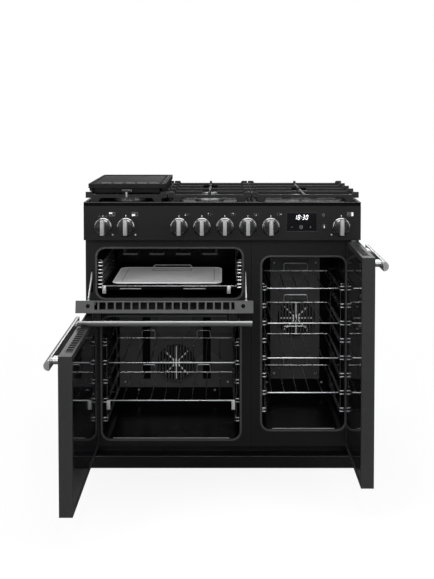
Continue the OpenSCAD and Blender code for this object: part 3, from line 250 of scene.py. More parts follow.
# %% Blacks
powder = finish("powder_black", (0.0042, 0.0046), (0.0065, 0.007), (0.36, 0.46), bump=0.00006,
                bump_scale=1400.0, grain=300.0, shine=0.3)
# A lighter copy of the black powder coat for the doors: the extra lightness is painted sheen of
# their glancing faces
door_powder_painted_sheen = finish("powder_door_painted_sheen", (0.0190, 0.0192, 0.0198), (0.0235, 0.0237, 0.0243),
                     (0.36, 0.46), bump=0.00006, bump_scale=1400.0, grain=300.0, shine=0.3)
enamel = finish("gloss_enamel", (0.004, 0.0045), (0.007, 0.0075), (0.10, 0.2), bump=0.00012,
                bump_scale=90.0, grain=40.0)
# Black oven enamel, also laid as painted shade on the tray's front face, the grill handle's posts
# and strips on the fan cover
enamel_black_and_painted_shade = finish("oven_enamel", (0.0012, 0.0015), (0.0040, 0.0046), (0.2, 0.32), bump=0.0001,
               bump_scale=120.0, grain=420.0, shine=0.07)
hob_black = finish("hob_enamel", (0.003, 0.0035), (0.006, 0.0065), (0.2, 0.3), bump=0.00001,
                   bump_scale=60.0, shine=0.015)
glass_black = finish("inner_glass", (0.004, 0.005), (0.006, 0.007), (0.03, 0.06), shine=0.7,
                     grain=8.0)
iron = finish("cast_iron", (0.009, 0.0095), (0.018, 0.019), (0.5, 0.64), bump=0.0004,
              bump_scale=520.0, grain=260.0, shine=0.22)
griddle_iron = finish("griddle_iron", (0.011, 0.0115), (0.018, 0.0185), (0.58, 0.7), bump=0.0003,
                      bump_scale=600.0, grain=300.0, shine=0.02)
plastic = finish("moulded_black", (0.015, 0.016), (0.02, 0.022), (0.4, 0.5), bump=0.00008,
                 bump_scale=1100.0)
knob_face = finish("knob_face", (0.012, 0.013), (0.02, 0.021), (0.25, 0.34), metal=0.2,
                   grain=500.0)

# %% Metals
wire_chrome = finish("wire_chrome", (0.74, 0.75), (0.86, 0.87), (0.24, 0.34), metal=1.0,
                     grain=90.0)
brushed = finish("brushed_steel", (0.60, 0.61), (0.72, 0.73), (0.34, 0.44), metal=1.0,
                 grain=(4.0, 900.0, 900.0), bump=0.00003, bump_scale=(6.0, 1600.0, 1600.0))
grip_steel = finish("grip_steel", (0.27, 0.275), (0.34, 0.345), (0.38, 0.48), metal=0.3,
                    grain=(900.0, 6.0), bump=0.00002, bump_scale=(1500.0, 8.0))
aluminium = finish("cast_aluminium", (0.30, 0.305), (0.40, 0.405), (0.30, 0.40), metal=0.9,
                   bump=0.00015, bump_scale=700.0, grain=200.0)
galvanised = finish("galvanised", (0.36, 0.37, 0.38), (0.5, 0.51, 0.52), (0.4, 0.55), metal=0.8,
                    grain=55.0, bump=0.00005)
brass = finish("tap_brass", (0.45, 0.32, 0.14), (0.56, 0.42, 0.2), (0.28, 0.38), metal=1.0)
sheath = finish("element_sheath", (0.03, 0.031), (0.06, 0.061), (0.45, 0.6), metal=0.5,
                grain=180.0)
# Darker copies of the same chrome wire: painted shade on cross wires, oven ladder rungs, the
# carriage rim and the ladders' uprights
chrome_painted_shade = finish("chrome_painted_shade", (0.30, 0.31), (0.42, 0.43), (0.22, 0.32), metal=1.0,
                     grain=90.0)
chrome_deep_painted_shade = finish("chrome_deep_painted_shade", (0.16, 0.165), (0.24, 0.245), (0.14, 0.22), metal=1.0)
ring_chrome = finish("ring_chrome", (0.27, 0.275), (0.35, 0.355), (0.2, 0.3), metal=1.0)

# %% Greys
# painted highlight: a light grey laid on edges where the light catches them, on the tray lip,
# frame, plinth and griddle
lip_painted_highlight = finish("painted_highlight_lip", (0.050, 0.051), (0.066, 0.067))
# painted highlight: a light grey for the beads round the seals
seal_painted_highlight = finish("seal_painted_highlight", (0.12, 0.122), (0.15, 0.152), (0.24, 0.34), grain=900.0)
# painted highlight: a light grey for the lit end face of the griddle stop and for its stem
stop_painted_highlight = finish("stop_iron_painted_highlight", (0.24, 0.242), (0.30, 0.302), (0.4, 0.5), grain=260.0, bump=0.0002,
                   bump_scale=520.0)
# painted glow: the trivet's light grey plate and studs give off a faint light of their own
trivet_grey_painted_glow = finish("trivet_grey_painted_glow", (0.84, 0.845), (0.92, 0.925), (0.4, 0.5),
                     grain=(30.0, 260.0, 260.0), bump=0.00003, glow=0.085)
# painted highlight that glows: for the fronts of the fan blades and the trivet's rim and lips
glowing_painted_highlight = finish("glowing_painted_highlight", (0.86, 0.865), (0.94, 0.945), (0.3, 0.4), metal=0.3, glow=0.16)
# Grey of the trivet's ribs, also used as a painted highlight on the glint bars in the oven
# openings
rib_grey_and_painted_glint = finish("rib_grey_and_painted_glint", (0.30, 0.305), (0.38, 0.385), (0.35, 0.45), metal=0.4,
                    grain=80.0)
seal_grey = finish("door_seal", (0.022, 0.024), (0.04, 0.043), (0.3, 0.42), grain=900.0,
                   bump=0.0002, bump_scale=1200.0)
vent_grey = finish("vent_grey", (0.038, 0.0385, 0.039), (0.050, 0.0505, 0.051), (0.4, 0.5),
                   grain=300.0, bump=0.00005, bump_scale=1400.0)
cover_grey = finish("cover_enamel", (0.050, 0.052), (0.074, 0.077), (0.22, 0.34), grain=420.0,
                    bump=0.0001, bump_scale=120.0)
tab_steel = finish("tab_steel", (0.6, 0.61), (0.72, 0.73), metal=0.6)
white_print = finish("white_print", 0.7, 0.82, (0.5, 0.6), grain=700.0)
grey_print = finish("grey_print", 0.2, 0.28, (0.5, 0.6), grain=700.0)
lens = finish("neon_lens", (0.3, 0.31), (0.42, 0.43), (0.15, 0.25), grain=300.0)
digit_light = finish("digit_light", (0.8, 0.82, 0.84), (0.86, 0.88, 0.9), (0.4, 0.5), grain=400.0,
                     glow_tint=(0.9, 0.95, 1.0, 1.0), glow=1.7)
print("finishes", len(bpy.data.materials))

# %% [markdown]
# ## Helpers for pieces
# A piece is a mesh object at the origin, with its place in the mesh. It rides on a body
# and may stand for CAD nodes.

# %% Helpers for pieces
BODY_OF = {node: body for body, held in frame["record"]["behaviour"]["bodies"].items()
           for node in held}


def add_piece(name, parts, body, slot, *replaced):
    """Puts a mesh, or a list of meshes as one, on a body in the place of the CAD nodes named."""
    mesh = joined(parts) if isinstance(parts, list) else parts
    mesh.name = name
    obj = bpy.data.objects.new(name, mesh)
    put_in_scene(obj)
    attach(obj, body)
    if replaced:
        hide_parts(*replaced)
    return mesh


def new_mesh(bm, materials):
    """A mesh from a bmesh, which is used up."""
    mesh = bpy.data.meshes.new("part")
    bm.to_mesh(mesh)
    bm.free()
    for material in materials:
        mesh.materials.append(material)
    return mesh


SMOOTH_UNDER = math.radians(35.0)


def mesh_from(bm, material):
    """A mesh from a bmesh, smooth where faces meet at a small angle."""
    bmesh.ops.recalc_face_normals(bm, faces=bm.faces)
    mesh = new_mesh(bm, [material])
    mesh.polygons.foreach_set("use_smooth", [True] * len(mesh.polygons))
    mesh.set_sharp_from_angle(angle=SMOOTH_UNDER)
    return mesh


def joined(meshes):
    """One mesh from several, each with its own materials."""
    whole = bmesh.new()
    materials = []
    for mesh in meshes:
        first = len(whole.faces)
        whole.from_mesh(mesh)
        whole.faces.ensure_lookup_table()
        own = list(mesh.materials)
        for face in whole.faces[first:]:
            material = own[min(face.material_index, len(own) - 1)]
            if material not in materials:
                materials.append(material)
            face.material_index = materials.index(material)
    return new_mesh(whole, materials)


SHARP_OVER = math.radians(25.0)
SLOT_OF = {part["node"]: part["material_slot"] for part in frame["record"]["subparts"]}


def softened(node, width, material, segments=2, paint=()):
    """A copy of a CAD node whose flat faces are whole and whose edges are rounded off. The flat
    faces stay flat to the light. paint may give some faces another finish: it holds pairs of
    that finish and a test of where the middle of a face lies."""
    bm = bmesh.new()
    bm.from_mesh(nodes[node].data)
    bmesh.ops.remove_doubles(bm, verts=bm.verts, dist=2e-6)
    bmesh.ops.dissolve_limit(bm, angle_limit=math.radians(0.8), verts=bm.verts, edges=bm.edges)
    sharp = [e for e in bm.edges if len(e.link_faces) == 2
             and e.calc_face_angle(0.0) > SHARP_OVER]
    strips = set(bmesh.ops.bevel(bm, geom=sharp, offset=width, segments=segments, profile=0.5,
                                 affect="EDGES", clamp_overlap=True)["faces"])
    for edge in bm.edges:
        edge.smooth = len({face in strips for face in edge.link_faces}) < 2
    for face in bm.faces:
        face.smooth = True
        for i, (_, test) in enumerate(paint, 1):
            if test(*face.calc_center_median()):
                face.material_index = i
    mesh = new_mesh(bm, (material, *(other for other, _ in paint)))
    add_piece(node + "_soft", mesh, BODY_OF[node], SLOT_OF[node], node)


def block(bm, low, high, bevel=0.0, segments=2):
    """Adds a box between two corners, with rounded edges if asked."""
    low, high = Vector(low), Vector(high)
    made = bmesh.ops.create_cube(bm, size=1.0)["verts"]
    for v in made:
        v.co = low + Vector((v.co[i] + 0.5) * (high[i] - low[i]) for i in range(3))
    if bevel:
        edges = list({e for v in made for e in v.link_edges})
        bmesh.ops.bevel(bm, geom=edges, offset=bevel, segments=segments, affect="EDGES",
                        profile=0.5, clamp_overlap=True)


def lathe(bm, profile, place, steps=48):
    """Adds a turned shape. profile has (radius, height) pairs and place is its matrix."""
    rings = []
    for radius, height in profile:
        if radius < 1e-7:
            rings.append([bm.verts.new(place @ Vector((0, 0, height)))])
            continue
        turn = 2 * math.pi / steps
        rings.append([bm.verts.new(place @ Vector((radius * math.cos(i * turn),
                                                   radius * math.sin(i * turn), height)))
                      for i in range(steps)])
    for a, b in zip(rings, rings[1:]):
        for i in range(steps):
            j = (i + 1) % steps
            if len(a) == 1 and len(b) == 1:
                break
            corners = ([a[0]] if len(a) == 1 else [a[i], a[j]])
            corners += ([b[0]] if len(b) == 1 else [b[j], b[i]])
            bm.faces.new(corners)


def blocks(material, boxes, bevel=0.0, segments=2):
    """A mesh of boxes, each given by its low and its high corner."""
    bm = bmesh.new()
    for low, high in boxes:
        block(bm, low, high, bevel, segments)
    return mesh_from(bm, material)


def turned(material, profile, places, steps=48):
    """A mesh with the same turned shape at each place."""
    bm = bmesh.new()
    for place in places:
        lathe(bm, profile, place, steps)
    return mesh_from(bm, material)


def place_at(x, y, z, quarter_turns=0):
    """The matrix of a place. A shape's height runs up, or to the front after one quarter turn
    and to the back after minus one."""
    place = Matrix.Translation((x, y, z))
    return place @ Matrix.Rotation(quarter_turns * math.pi / 2, 4, "X")


FORWARD, BACKWARD = 1, -1
print("helpers ready")

# %% [markdown]
# ## Node trees for what repeats
# Three small Geometry Nodes trees do the repeating work. One turns edges into round wire with
# bent corners, one repeats what it gets along two steps, and one repeats it round a ring. All
# end in Realize Instances and Set Material, and their result is kept as a plain mesh.

# %% Helpers for node trees
def new_tree(name, inputs):
    """A geometry node tree with a mesh in, a mesh out and the named inputs."""
    tree = bpy.data.node_groups.new(name, "GeometryNodeTree")
    tree.interface.new_socket("Geometry", in_out="INPUT", socket_type="NodeSocketGeometry")
    for label, kind in inputs.items():
        tree.interface.new_socket(label, in_out="INPUT", socket_type="NodeSocket" + kind)
    tree.interface.new_socket("Geometry", in_out="OUTPUT", socket_type="NodeSocketGeometry")
    return tree, tree.nodes.new("NodeGroupInput"), tree.nodes.new("NodeGroupOutput")


def close_tree(tree, start, end, geometry):
    """Realizes instances, sets the finish and leads to the output."""
    real = add_node(tree, "GeometryNodeRealizeInstances", {0: geometry})
    paint = add_node(tree, "GeometryNodeSetMaterial", {
        "Geometry": real.outputs[0], "Material": start.outputs["Finish"]})
    tree.links.new(paint.outputs[0], end.inputs[0])


def grown(base, *steps):
    """Runs (tree, values) steps on a mesh and returns the result as a plain mesh."""
    obj = bpy.data.objects.new("grown", base)
    put_in_scene(obj)
    for tree, values in steps:
        modifier = obj.modifiers.new(tree.name, "NODES")
        modifier.node_group = tree
        for item in tree.interface.items_tree:
            if item.in_out == "INPUT" and item.name in values:
                modifier[item.identifier] = values[item.name]
    graph = bpy.context.evaluated_depsgraph_get()
    mesh = bpy.data.meshes.new_from_object(obj.evaluated_get(graph), depsgraph=graph)
    bpy.data.objects.remove(obj)
    return mesh


def edge_mesh(paths):
    """A mesh of edges along each path of points, in metres. A closed path repeats its start."""
    mesh = bpy.data.meshes.new("paths")
    points, edges = [], []
    for path in paths:
        closed = path[0] == path[-1]
        kept = path[:-1] if closed else path
        first = len(points)
        points += [tuple(p) for p in kept]
        edges += [(first + i, first + i + 1) for i in range(len(kept) - 1)]
        if closed:
            edges.append((first + len(kept) - 1, first))
    mesh.from_pydata(points, edges, [])
    return mesh


# %% Tree: edges into round wire
WIRE, start, end = new_tree("round_wire", {
    "Wire Radius": "Float", "Bend Radius": "Float", "Sides": "Int", "Finish": "Material"})
given = start.outputs
to_curve = add_node(WIRE, "GeometryNodeMeshToCurve", {"Mesh": given["Geometry"]})
bend = add_node(WIRE, "GeometryNodeFilletCurve", {
    "Curve": to_curve.outputs[0], "Radius": given["Bend Radius"], "Count": 4}, mode="POLY")
section = add_node(WIRE, "GeometryNodeCurvePrimitiveCircle", {
    "Resolution": given["Sides"], "Radius": given["Wire Radius"]})
swept = add_node(WIRE, "GeometryNodeCurveToMesh", {
    "Curve": bend.outputs[0], "Profile Curve": section.outputs[0], "Fill Caps": True})
close_tree(WIRE, start, end, swept.outputs[0])

# %% Tree: repeat along two steps
REPEAT, start, end = new_tree("repeat", {
    "Count": "Int", "Step": "Vector", "Rows": "Int", "Row Step": "Vector",
    "Finish": "Material"})
copied = start.outputs["Geometry"]
for count, step in (("Count", "Step"), ("Rows", "Row Step")):
    line = add_node(REPEAT, "GeometryNodeMeshLine", {
        "Count": start.outputs[count], "Offset": start.outputs[step]}, mode="OFFSET")
    place = add_node(REPEAT, "GeometryNodeInstanceOnPoints", {
        "Points": line.outputs[0], "Instance": copied})
    copied = place.outputs[0]
close_tree(REPEAT, start, end, copied)

# %% Tree: repeat round a ring
RING, start, end = new_tree("ring", {
    "Count": "Int", "Centre": "Vector", "Finish": "Material"})
given = start.outputs
circle = add_node(RING, "GeometryNodeMeshCircle", {"Vertices": given["Count"], "Radius": 0.001})
centred = add_node(RING, "GeometryNodeSetPosition", {
    "Geometry": circle.outputs[0], "Position": given["Centre"]})
index = add_node(RING, "GeometryNodeInputIndex")
share = add_node(RING, "ShaderNodeMath", {0: 2 * math.pi, 1: given["Count"]},
                 operation="DIVIDE")
angle = add_node(RING, "ShaderNodeMath", {0: index.outputs[0], 1: share.outputs[0]},
                 operation="MULTIPLY")
spin = add_node(RING, "ShaderNodeCombineXYZ", {"Z": angle.outputs[0]})
around = add_node(RING, "GeometryNodeInstanceOnPoints", {
    "Points": centred.outputs[0], "Instance": given["Geometry"], "Rotation": spin.outputs[0]})
close_tree(RING, start, end, around.outputs[0])

STILL = (0, 0, 0)


def repeated(mesh, material, count=1, step=STILL, rows=1, row_step=STILL, before=()):
    """Copies of a mesh along one or two steps."""
    return grown(mesh, *before, (REPEAT, {
        "Count": count, "Step": step, "Rows": rows, "Row Step": row_step, "Finish": material}))


def wires(paths, radius, material, bend_radius=0.004, sides=10, **copies):
    """Round wires along paths, repeated along one or two steps."""
    bent = (WIRE, {"Wire Radius": radius, "Bend Radius": bend_radius, "Sides": sides,
                   "Finish": material})
    return repeated(edge_mesh(paths), material, before=[bent], **copies)


print("trees", [t.name for t in bpy.data.node_groups])

# %% [markdown]
# ## Finishes on the CAD nodes
# Every CAD node takes a finish, by its name or by a word in its name. Some are shown as they
# are, and the others are replaced below by a piece of the same shape with softer edges or
# rounder wire.

# %% Give every node its finish
NODE_FINISH = {
    "back_panel": galvanised, "base_panel": galvanised, "main_oven_cavity": enamel_black_and_painted_shade,
    "grill_cavity": enamel_black_and_painted_shade, "tall_oven_cavity": enamel_black_and_painted_shade, "oven_seals": brushed,
    "hob_tray": hob_black, "burner_bases": aluminium, "burner_caps": enamel,
    "clock_module": glass_black, "gas_taps": brass, "gas_rail": galvanised,
    "oven_controls": plastic, "feet": plastic, "fan_covers": enamel_black_and_painted_shade, "fan_motors": galvanised,
    "heating_elements": sheath, "hinge_brackets": galvanised,
}
WORD_FINISH = (("knob", plastic), ("handle", brushed), ("glass", glass_black),
               ("shelf", wire_chrome), ("carriage", wire_chrome), ("trivet", brushed),
               ("griddle", griddle_iron), ("support", iron), ("", powder))
for name, obj in nodes.items():
    by_word = next(chosen for word, chosen in WORD_FINISH if word in name)
    obj.data.materials.clear()
    obj.data.materials.append(NODE_FINISH.get(name, by_word))
print("dressed", len(nodes))

# %% [markdown]
# ## Cabinet, doors and hob in soft edges
# These nodes keep the CAD's shape. Their edges are rounded by a millimetre or two, which is what
# makes folded steel, castings and glass look real. Only the rounded strips are shaded smooth,
# so a pane of glass stays a true mirror.

# %% Rounded nodes
BLADE_DEPTH, TRAY_LIP_Z = 0.0155, 0.9022
SOFT = {
    "side_panels": (0.0012, powder), "fascia": (0.0018, powder),
    "rear_vent_trim": (0.0012, hob_black), "oven_seals": (0.0007, seal_grey),
    "left_door_panel": (0.0016, door_powder_painted_sheen), "right_door_panel": (0.0016, door_powder_painted_sheen),
    "grill_door_panel": (0.0014, powder), "grill_door_vent": (0.0006, vent_grey),
    "left_door_glass": (0.0008, glass_black), "right_door_glass": (0.0008, glass_black),
    "grill_door_glass": (0.0008, glass_black), "left_door_handle": (0.0016, brushed),
    "right_door_handle": (0.0016, brushed),
    "grill_door_stays": (0.0006, galvanised), "grill_pan": (0.0008, enamel_black_and_painted_shade),
    "pan_support_middle": (0.0018, iron), "pan_support_right": (0.0018, iron),
    "fan_covers": (0.0006, cover_grey), "hinge_brackets": (0.0006, galvanised),
    "back_panel": (0.0004, galvanised),
}
for node, (width, material) in SOFT.items():
    softened(node, width, material)
# painted highlight: the fronts of the fan blades glow, the rest of each fan is black enamel
for node in ("main_fan", "tall_fan"):
    disc_y = box(node)[0].y + BLADE_DEPTH
    softened(node, 0.0004, glowing_painted_highlight, paint=((enamel_black_and_painted_shade, lambda x, y, z: y > disc_y),))
# painted highlight on the tray's front lip, and painted shade on the tray's front face below it
softened("hob_tray", 0.0030, hob_black, segments=3, paint=(
    (lip_painted_highlight, lambda x, y, z: y < -0.3012 and z > TRAY_LIP_Z),
    (enamel_black_and_painted_shade, lambda x, y, z: y < -0.3030 and z <= TRAY_LIP_Z)))
# painted highlight along the bottom edge of the front frame
softened("front_frame", 0.0012, powder, paint=(
    (lip_painted_highlight, lambda x, y, z: y < -0.2628 and z < 0.0893),))
# painted highlight along the front edge of the plinth's ledge
softened("plinth", 0.0018, powder, paint=(
    (lip_painted_highlight, lambda x, y, z: y < -0.2422 and 0.0442 < z < 0.0462),))
# painted highlight on the faces of the stop at the front of the grate
softened("pan_support_left", 0.0018, iron, paint=(
    (stop_painted_highlight, lambda x, y, z: y < -0.2575 and z > 0.9345
     and abs(x + 0.314) < 0.0165),))
# painted highlight on a narrow strip at the griddle's right-hand edge
softened("griddle", 0.0018, griddle_iron, paint=(
    (lip_painted_highlight, lambda x, y, z: -0.2060 < x < -0.1985 and z > 0.9530),))
# painted shade: the handle's posts under the door's vent strip take the black enamel
softened("grill_door_handle", 0.0016, brushed, paint=((enamel_black_and_painted_shade, lambda x, y, z: z > 0.5585),))
print("rounded", len(SOFT))

# %% [markdown]
# ## Shelves, ladders and the grill carriage
# The CAD has these wires in eight sides and square corners. Here the same wires are drawn round,
# with bent corners, at the same places. Each shelf is one mesh on its own sliding body.

# %% Sizes read from the CAD
SHELF_R, CROSS_R, RUNG_R, UPRIGHT_R = 0.0022, 0.0016, 0.0028, 0.0030
BACK_Y, FRONT_Y = 0.076, -0.254


def shelf_parts(left, right, z, cross, pitch, loops, loop_w, tabs):
    """The meshes of a wire shelf: a bent rim, cross wires from front to back, upstands at the
    back and tabs in front if asked. The rod under its middle is in the CAD only."""
    rim = [(left, FRONT_Y, z), (right, FRONT_Y, z), (right, BACK_Y, z), (left, BACK_Y, z),
           (left, FRONT_Y, z)]
    first = (left + right - (cross - 1) * pitch) / 2
    upstand = z + 0.028
    made = [wires([rim], SHELF_R, wire_chrome, bend_radius=0.008),
            wires([[(first, FRONT_Y, z + SHELF_R), (first, BACK_Y, z + SHELF_R)]], CROSS_R,
                  chrome_painted_shade, sides=8, count=cross, step=(pitch, 0, 0))]
    for x in loops:
        a, b = x - loop_w / 2, x + loop_w / 2
        made.append(wires([[(a, BACK_Y, z), (a, BACK_Y, upstand), (b, BACK_Y, upstand),
                            (b, BACK_Y, z)]], 0.0020, wire_chrome, bend_radius=0.007))
    if tabs:
        made.append(blocks(tab_steel, [
            ((x, FRONT_Y - 0.0055, z - 0.0295), (x + 0.012, FRONT_Y - 0.0030, z + 0.0015))
            for x in (left - 0.0022, right - 0.012)], 0.0008))
    return made


# %% Shelves of the two ovens
MAIN_X, TALL_X = (-0.382, 0.043), (0.147, 0.391)
shelf_places = {
    "main_shelf_upper": (MAIN_X, 0.365, 10, 0.04606, (-0.271, -0.068), 0.048, False),
    "main_shelf_lower": (MAIN_X, 0.238, 10, 0.04606, (-0.271, -0.068), 0.048, True),
}
for i, z in enumerate((0.2642, 0.3806, 0.4970, 0.6134), 1):
    shelf_places[f"tall_shelf_{i}"] = (TALL_X, z, 6, 0.04214, (0.269,), 0.086, False)
for node, ((left, right), *sizes) in shelf_places.items():
    mesh = add_piece(node + "_wire", shelf_parts(left, right, *sizes), BODY_OF[node],
                     "shelf_chrome", node)
    print(mesh.name, len(mesh.polygons))

# %% Ladders on the oven walls
def ladder_parts(x, out, z0, pitch, count, rung_finish):
    """One wall's ladder: pairs of rungs bent into the wall in front, and two bent uprights."""
    low, high = -0.253, 0.099
    tall = (count - 1) * pitch
    made = [wires([[(x - out * 0.0130, low, z), (x, low, z), (x, high, z)]], RUNG_R, rung_finish,
                  bend_radius=0.004, sides=8, rows=count, row_step=(0, 0, pitch))
            for z in (z0 - 0.0055, z0 + 0.0055)]
    off, wall = x - out * 0.0055, x - out * 0.0140
    under, over = z0 - 0.009, z0 + tall + 0.009
    for y in (low + 0.030, high - 0.030):
        made.append(wires([[(wall, y, under), (off, y, under), (off, y, over),
                            (wall, y, over)]], UPRIGHT_R, chrome_deep_painted_shade, bend_radius=0.003,
                          sides=8))
    return made


ladders = []
for (left, right), z0, pitch, count, rung_finish in (
        ((-0.396, 0.057), 0.1745, 0.0635, 5, chrome_painted_shade),
        ((0.133, 0.405), 0.206, 0.0582, 8, chrome_painted_shade),
        ((-0.411, 0.064), 0.622, 0.024, 4, wire_chrome)):
    ladders += ladder_parts(left + 0.014, 1, z0, pitch, count, rung_finish)
    ladders += ladder_parts(right - 0.014, -1, z0, pitch, count, rung_finish)
ladder_wire = add_piece("shelf_ladder_wire", ladders, "cabinet", "shelf_chrome",
                        "shelf_ladders")
print("ladder faces", len(ladder_wire.polygons))

# %% [markdown]
# ## Knobs and their collars
# Each knob is turned on a lathe: a dark face inside a narrow polished edge, with a flat satin
# grip across it. The wide ring round it belongs to the fascia and stays still when the knob
# turns. Its thin edge and its grip turn with it.

# %% Knobs
KNOBS = {"grill_knob": -0.387, "main_oven_knob": -0.313, "hob_knob_1": -0.1405,
         "hob_knob_2": -0.0659, "hob_knob_3": 0.0087, "hob_knob_4": 0.0833,
         "hob_knob_5": 0.1579, "tall_oven_knob": 0.3865}
KNOB_Z, FACE_Y = 0.825, -0.304


def knob_parts(x):
    """The dark body of a knob, its polished edge and its grip, about a shaft at x."""
    place = place_at(x, FACE_Y, KNOB_Z, FORWARD)
    body = bmesh.new()
    lathe(body, [(0.0, 0.0006), (0.0228, 0.0006), (0.0236, 0.0014), (0.0236, 0.0110),
                 (0.0204, 0.0128), (0.0, 0.0122)], place, 56)
    lathe(body, [(0.004, 0.0006), (0.004, -0.0285), (0.0, -0.0285)], place, 20)
    for tick_x in (x - 0.0095, x + 0.0095):
        for k in range(5):
            z = KNOB_Z - 0.012 + 0.006 * k
            block(body, (tick_x - 0.0022, FACE_Y - 0.0132, z - 0.0009),
                  (tick_x + 0.0022, FACE_Y - 0.0118, z + 0.0009), 0.0004, 1)
    edge = turned(ring_chrome, [
        (0.0234, 0.0100), (0.0239, 0.0106), (0.0239, 0.0112), (0.0214, 0.0144),
        (0.0208, 0.0144), (0.0204, 0.0136), (0.0204, 0.0120)], [place], 56)
    grip = blocks(grip_steel, [((x - 0.006, FACE_Y - 0.0325, KNOB_Z - 0.025),
                                (x + 0.006, FACE_Y - 0.0125, KNOB_Z + 0.025))], 0.0011)
    return [mesh_from(body, knob_face), edge, grip]


for node, x in KNOBS.items():
    add_piece(node + "_turned", knob_parts(x), BODY_OF[node], "knob_finish", node)

rings = turned(ring_chrome, [
    (0.0252, 0.0), (0.0252, 0.0074), (0.0258, 0.0080), (0.0266, 0.0077), (0.0297, 0.0040),
    (0.0300, 0.0032), (0.0300, 0.0)], [place_at(x, FACE_Y, KNOB_Z, FORWARD)
                                       for x in KNOBS.values()], 72)
button_place = [place_at(0.331, FACE_Y, KNOB_Z, FORWARD)]
button_ring = turned(plastic, [
    (0.0066, 0.0), (0.0066, 0.0020), (0.0078, 0.0026), (0.0089, 0.0016), (0.0090, 0.0)],
    button_place, 40)
add_piece("knob_rings", [rings, button_ring], "cabinet", "chrome_trim", "knob_collars")
button = turned(knob_face, [
    (0.0, -0.010), (0.0058, -0.010), (0.0058, 0.0030), (0.0050, 0.0040), (0.0, 0.0040)],
    button_place, 40)
button_mark = blocks(white_print, [((0.3296, FACE_Y - 0.00425, KNOB_Z - 0.0034),
                                    (0.3324, FACE_Y - 0.0039, KNOB_Z + 0.0034))], 0.0001, 1)
add_piece("light_button_turned", [button, button_mark], "light_switch", "chrome_trim",
          "light_button")
print("knobs", len(KNOBS))

# %% [markdown]
# ## Marks on the fascia
# The marks are plain signs with no lettering: a tick over each knob, a small plan of the ovens
# or burners beside it with the one it controls filled in, and a lamp sign over the button.

# %% Printed signs
INK, PEN, SIGN_Z = 0.00025, 0.0006, 0.8655


def flat(bm, x0, z0, x1, z1, y=FACE_Y):
    """A thin plate of ink on the fascia."""
    block(bm, (x0, y - INK, z0), (x1, y, z1))


def outline(bm, x0, z0, x1, z1):
    """The four sides of a rectangle."""
    flat(bm, x0, z0, x1, z0 + PEN)
    flat(bm, x0, z1 - PEN, x1, z1)
    flat(bm, x0, z0 + PEN, x0 + PEN, z1 - PEN)
    flat(bm, x1 - PEN, z0 + PEN, x1, z1 - PEN)


white, grey = bmesh.new(), bmesh.new()
for x in KNOBS.values():
    flat(white, x - 0.0009, 0.8575, x + 0.0009, 0.8625)
for dx in (-0.014, 0.006):
    flat(grey, KNOBS["grill_knob"] + dx, 0.8590, KNOBS["grill_knob"] + dx + 0.008, 0.8598)
OVEN_SIGN = {"grill": (-0.0095, 0.0015, 0.0015, 0.0062),
             "main": (-0.0095, -0.0058, 0.0015, 0.0005), "tall": (0.0035, -0.0058, 0.0100, 0.0062)}
for node, lit in (("grill_knob", "grill"), ("main_oven_knob", "main"), ("tall_oven_knob", "tall")):
    cx, cz = KNOBS[node] + 0.0290, SIGN_Z
    for part, (x0, z0, x1, z1) in OVEN_SIGN.items():
        draw = flat if part == lit else outline
        draw(white if part == lit else grey, cx + x0, cz + z0, cx + x1, cz + z1)
DOTS = [(-0.006, -0.0027), (-0.006, 0.0027), (0.0, 0.0027), (0.0, -0.0027), (0.0062, 0.0)]
for i in range(5):
    cx, cz = KNOBS[f"hob_knob_{i + 1}"] + 0.0268, SIGN_Z
    for k, (dx, dz) in enumerate(DOTS):
        r = 0.0013 if k == i else 0.0007
        flat(white if k == i else grey, cx + dx - r, cz + dz - r, cx + dx + r, cz + dz + r)

# the lamp sign: a ring of short strokes over a small cap
for k in range(12):
    a = 2 * math.pi * k / 12
    if abs(a - 1.5 * math.pi) > 0.4:
        cx, cz = 0.329 + 0.0034 * math.cos(a), 0.8640 + 0.0034 * math.sin(a)
        flat(grey, cx - 0.0006, cz - 0.0006, cx + 0.0006, cz + 0.0006)
flat(grey, 0.3276, 0.8585, 0.3304, 0.8594)
add_piece("fascia_signs", [mesh_from(white, white_print), mesh_from(grey, grey_print)],
          "cabinet", "fascia_black")

# %% Neon lenses
add_piece("neon_lenses", turned(lens, [
    (0.0029, 0.0), (0.0029, 0.0009), (0.0022, 0.0018), (0.0, 0.0022)], [
        place_at(x, FACE_Y, z, FORWARD)
        for x, z in ((-0.356, 0.7985), (-0.282, 0.7985), (0.355, 0.799))], 24),
    "cabinet", "control_plastic")
print("signs ready")

# %% [markdown]
# ## The clock
# A dark window shows the time in slanted seven-stroke digits, over three touch signs.

# %% Clock window and digits
CLOCK_Y = -0.3042
STROKES = {"a": (0, 2), "b": (1, 1.5), "c": (1, 0.5), "d": (0, 0), "e": (-1, 0.5),
           "f": (-1, 1.5), "g": (0, 1)}
DIGITS = {"1": "bc", "8": "abcdefg", "3": "abcdg", "0": "abcdef"}
DIGIT_W, DIGIT_H, DIGIT_STEP, LINE, SLANT = 0.0068, 0.0142, 0.0108, 0.0012, 0.20


def stroke(bm, x0, z0, x1, z1, base_z):
    """A thin lit bar that leans with the digits."""
    made = bmesh.ops.create_cube(bm, size=1.0)["verts"]
    for v in made:
        x = x0 + (v.co.x + 0.5) * (x1 - x0)
        z = z0 + (v.co.z + 0.5) * (z1 - z0)
        v.co = Vector((x + SLANT * (z - base_z), CLOCK_Y + v.co.y * 0.0003, z))


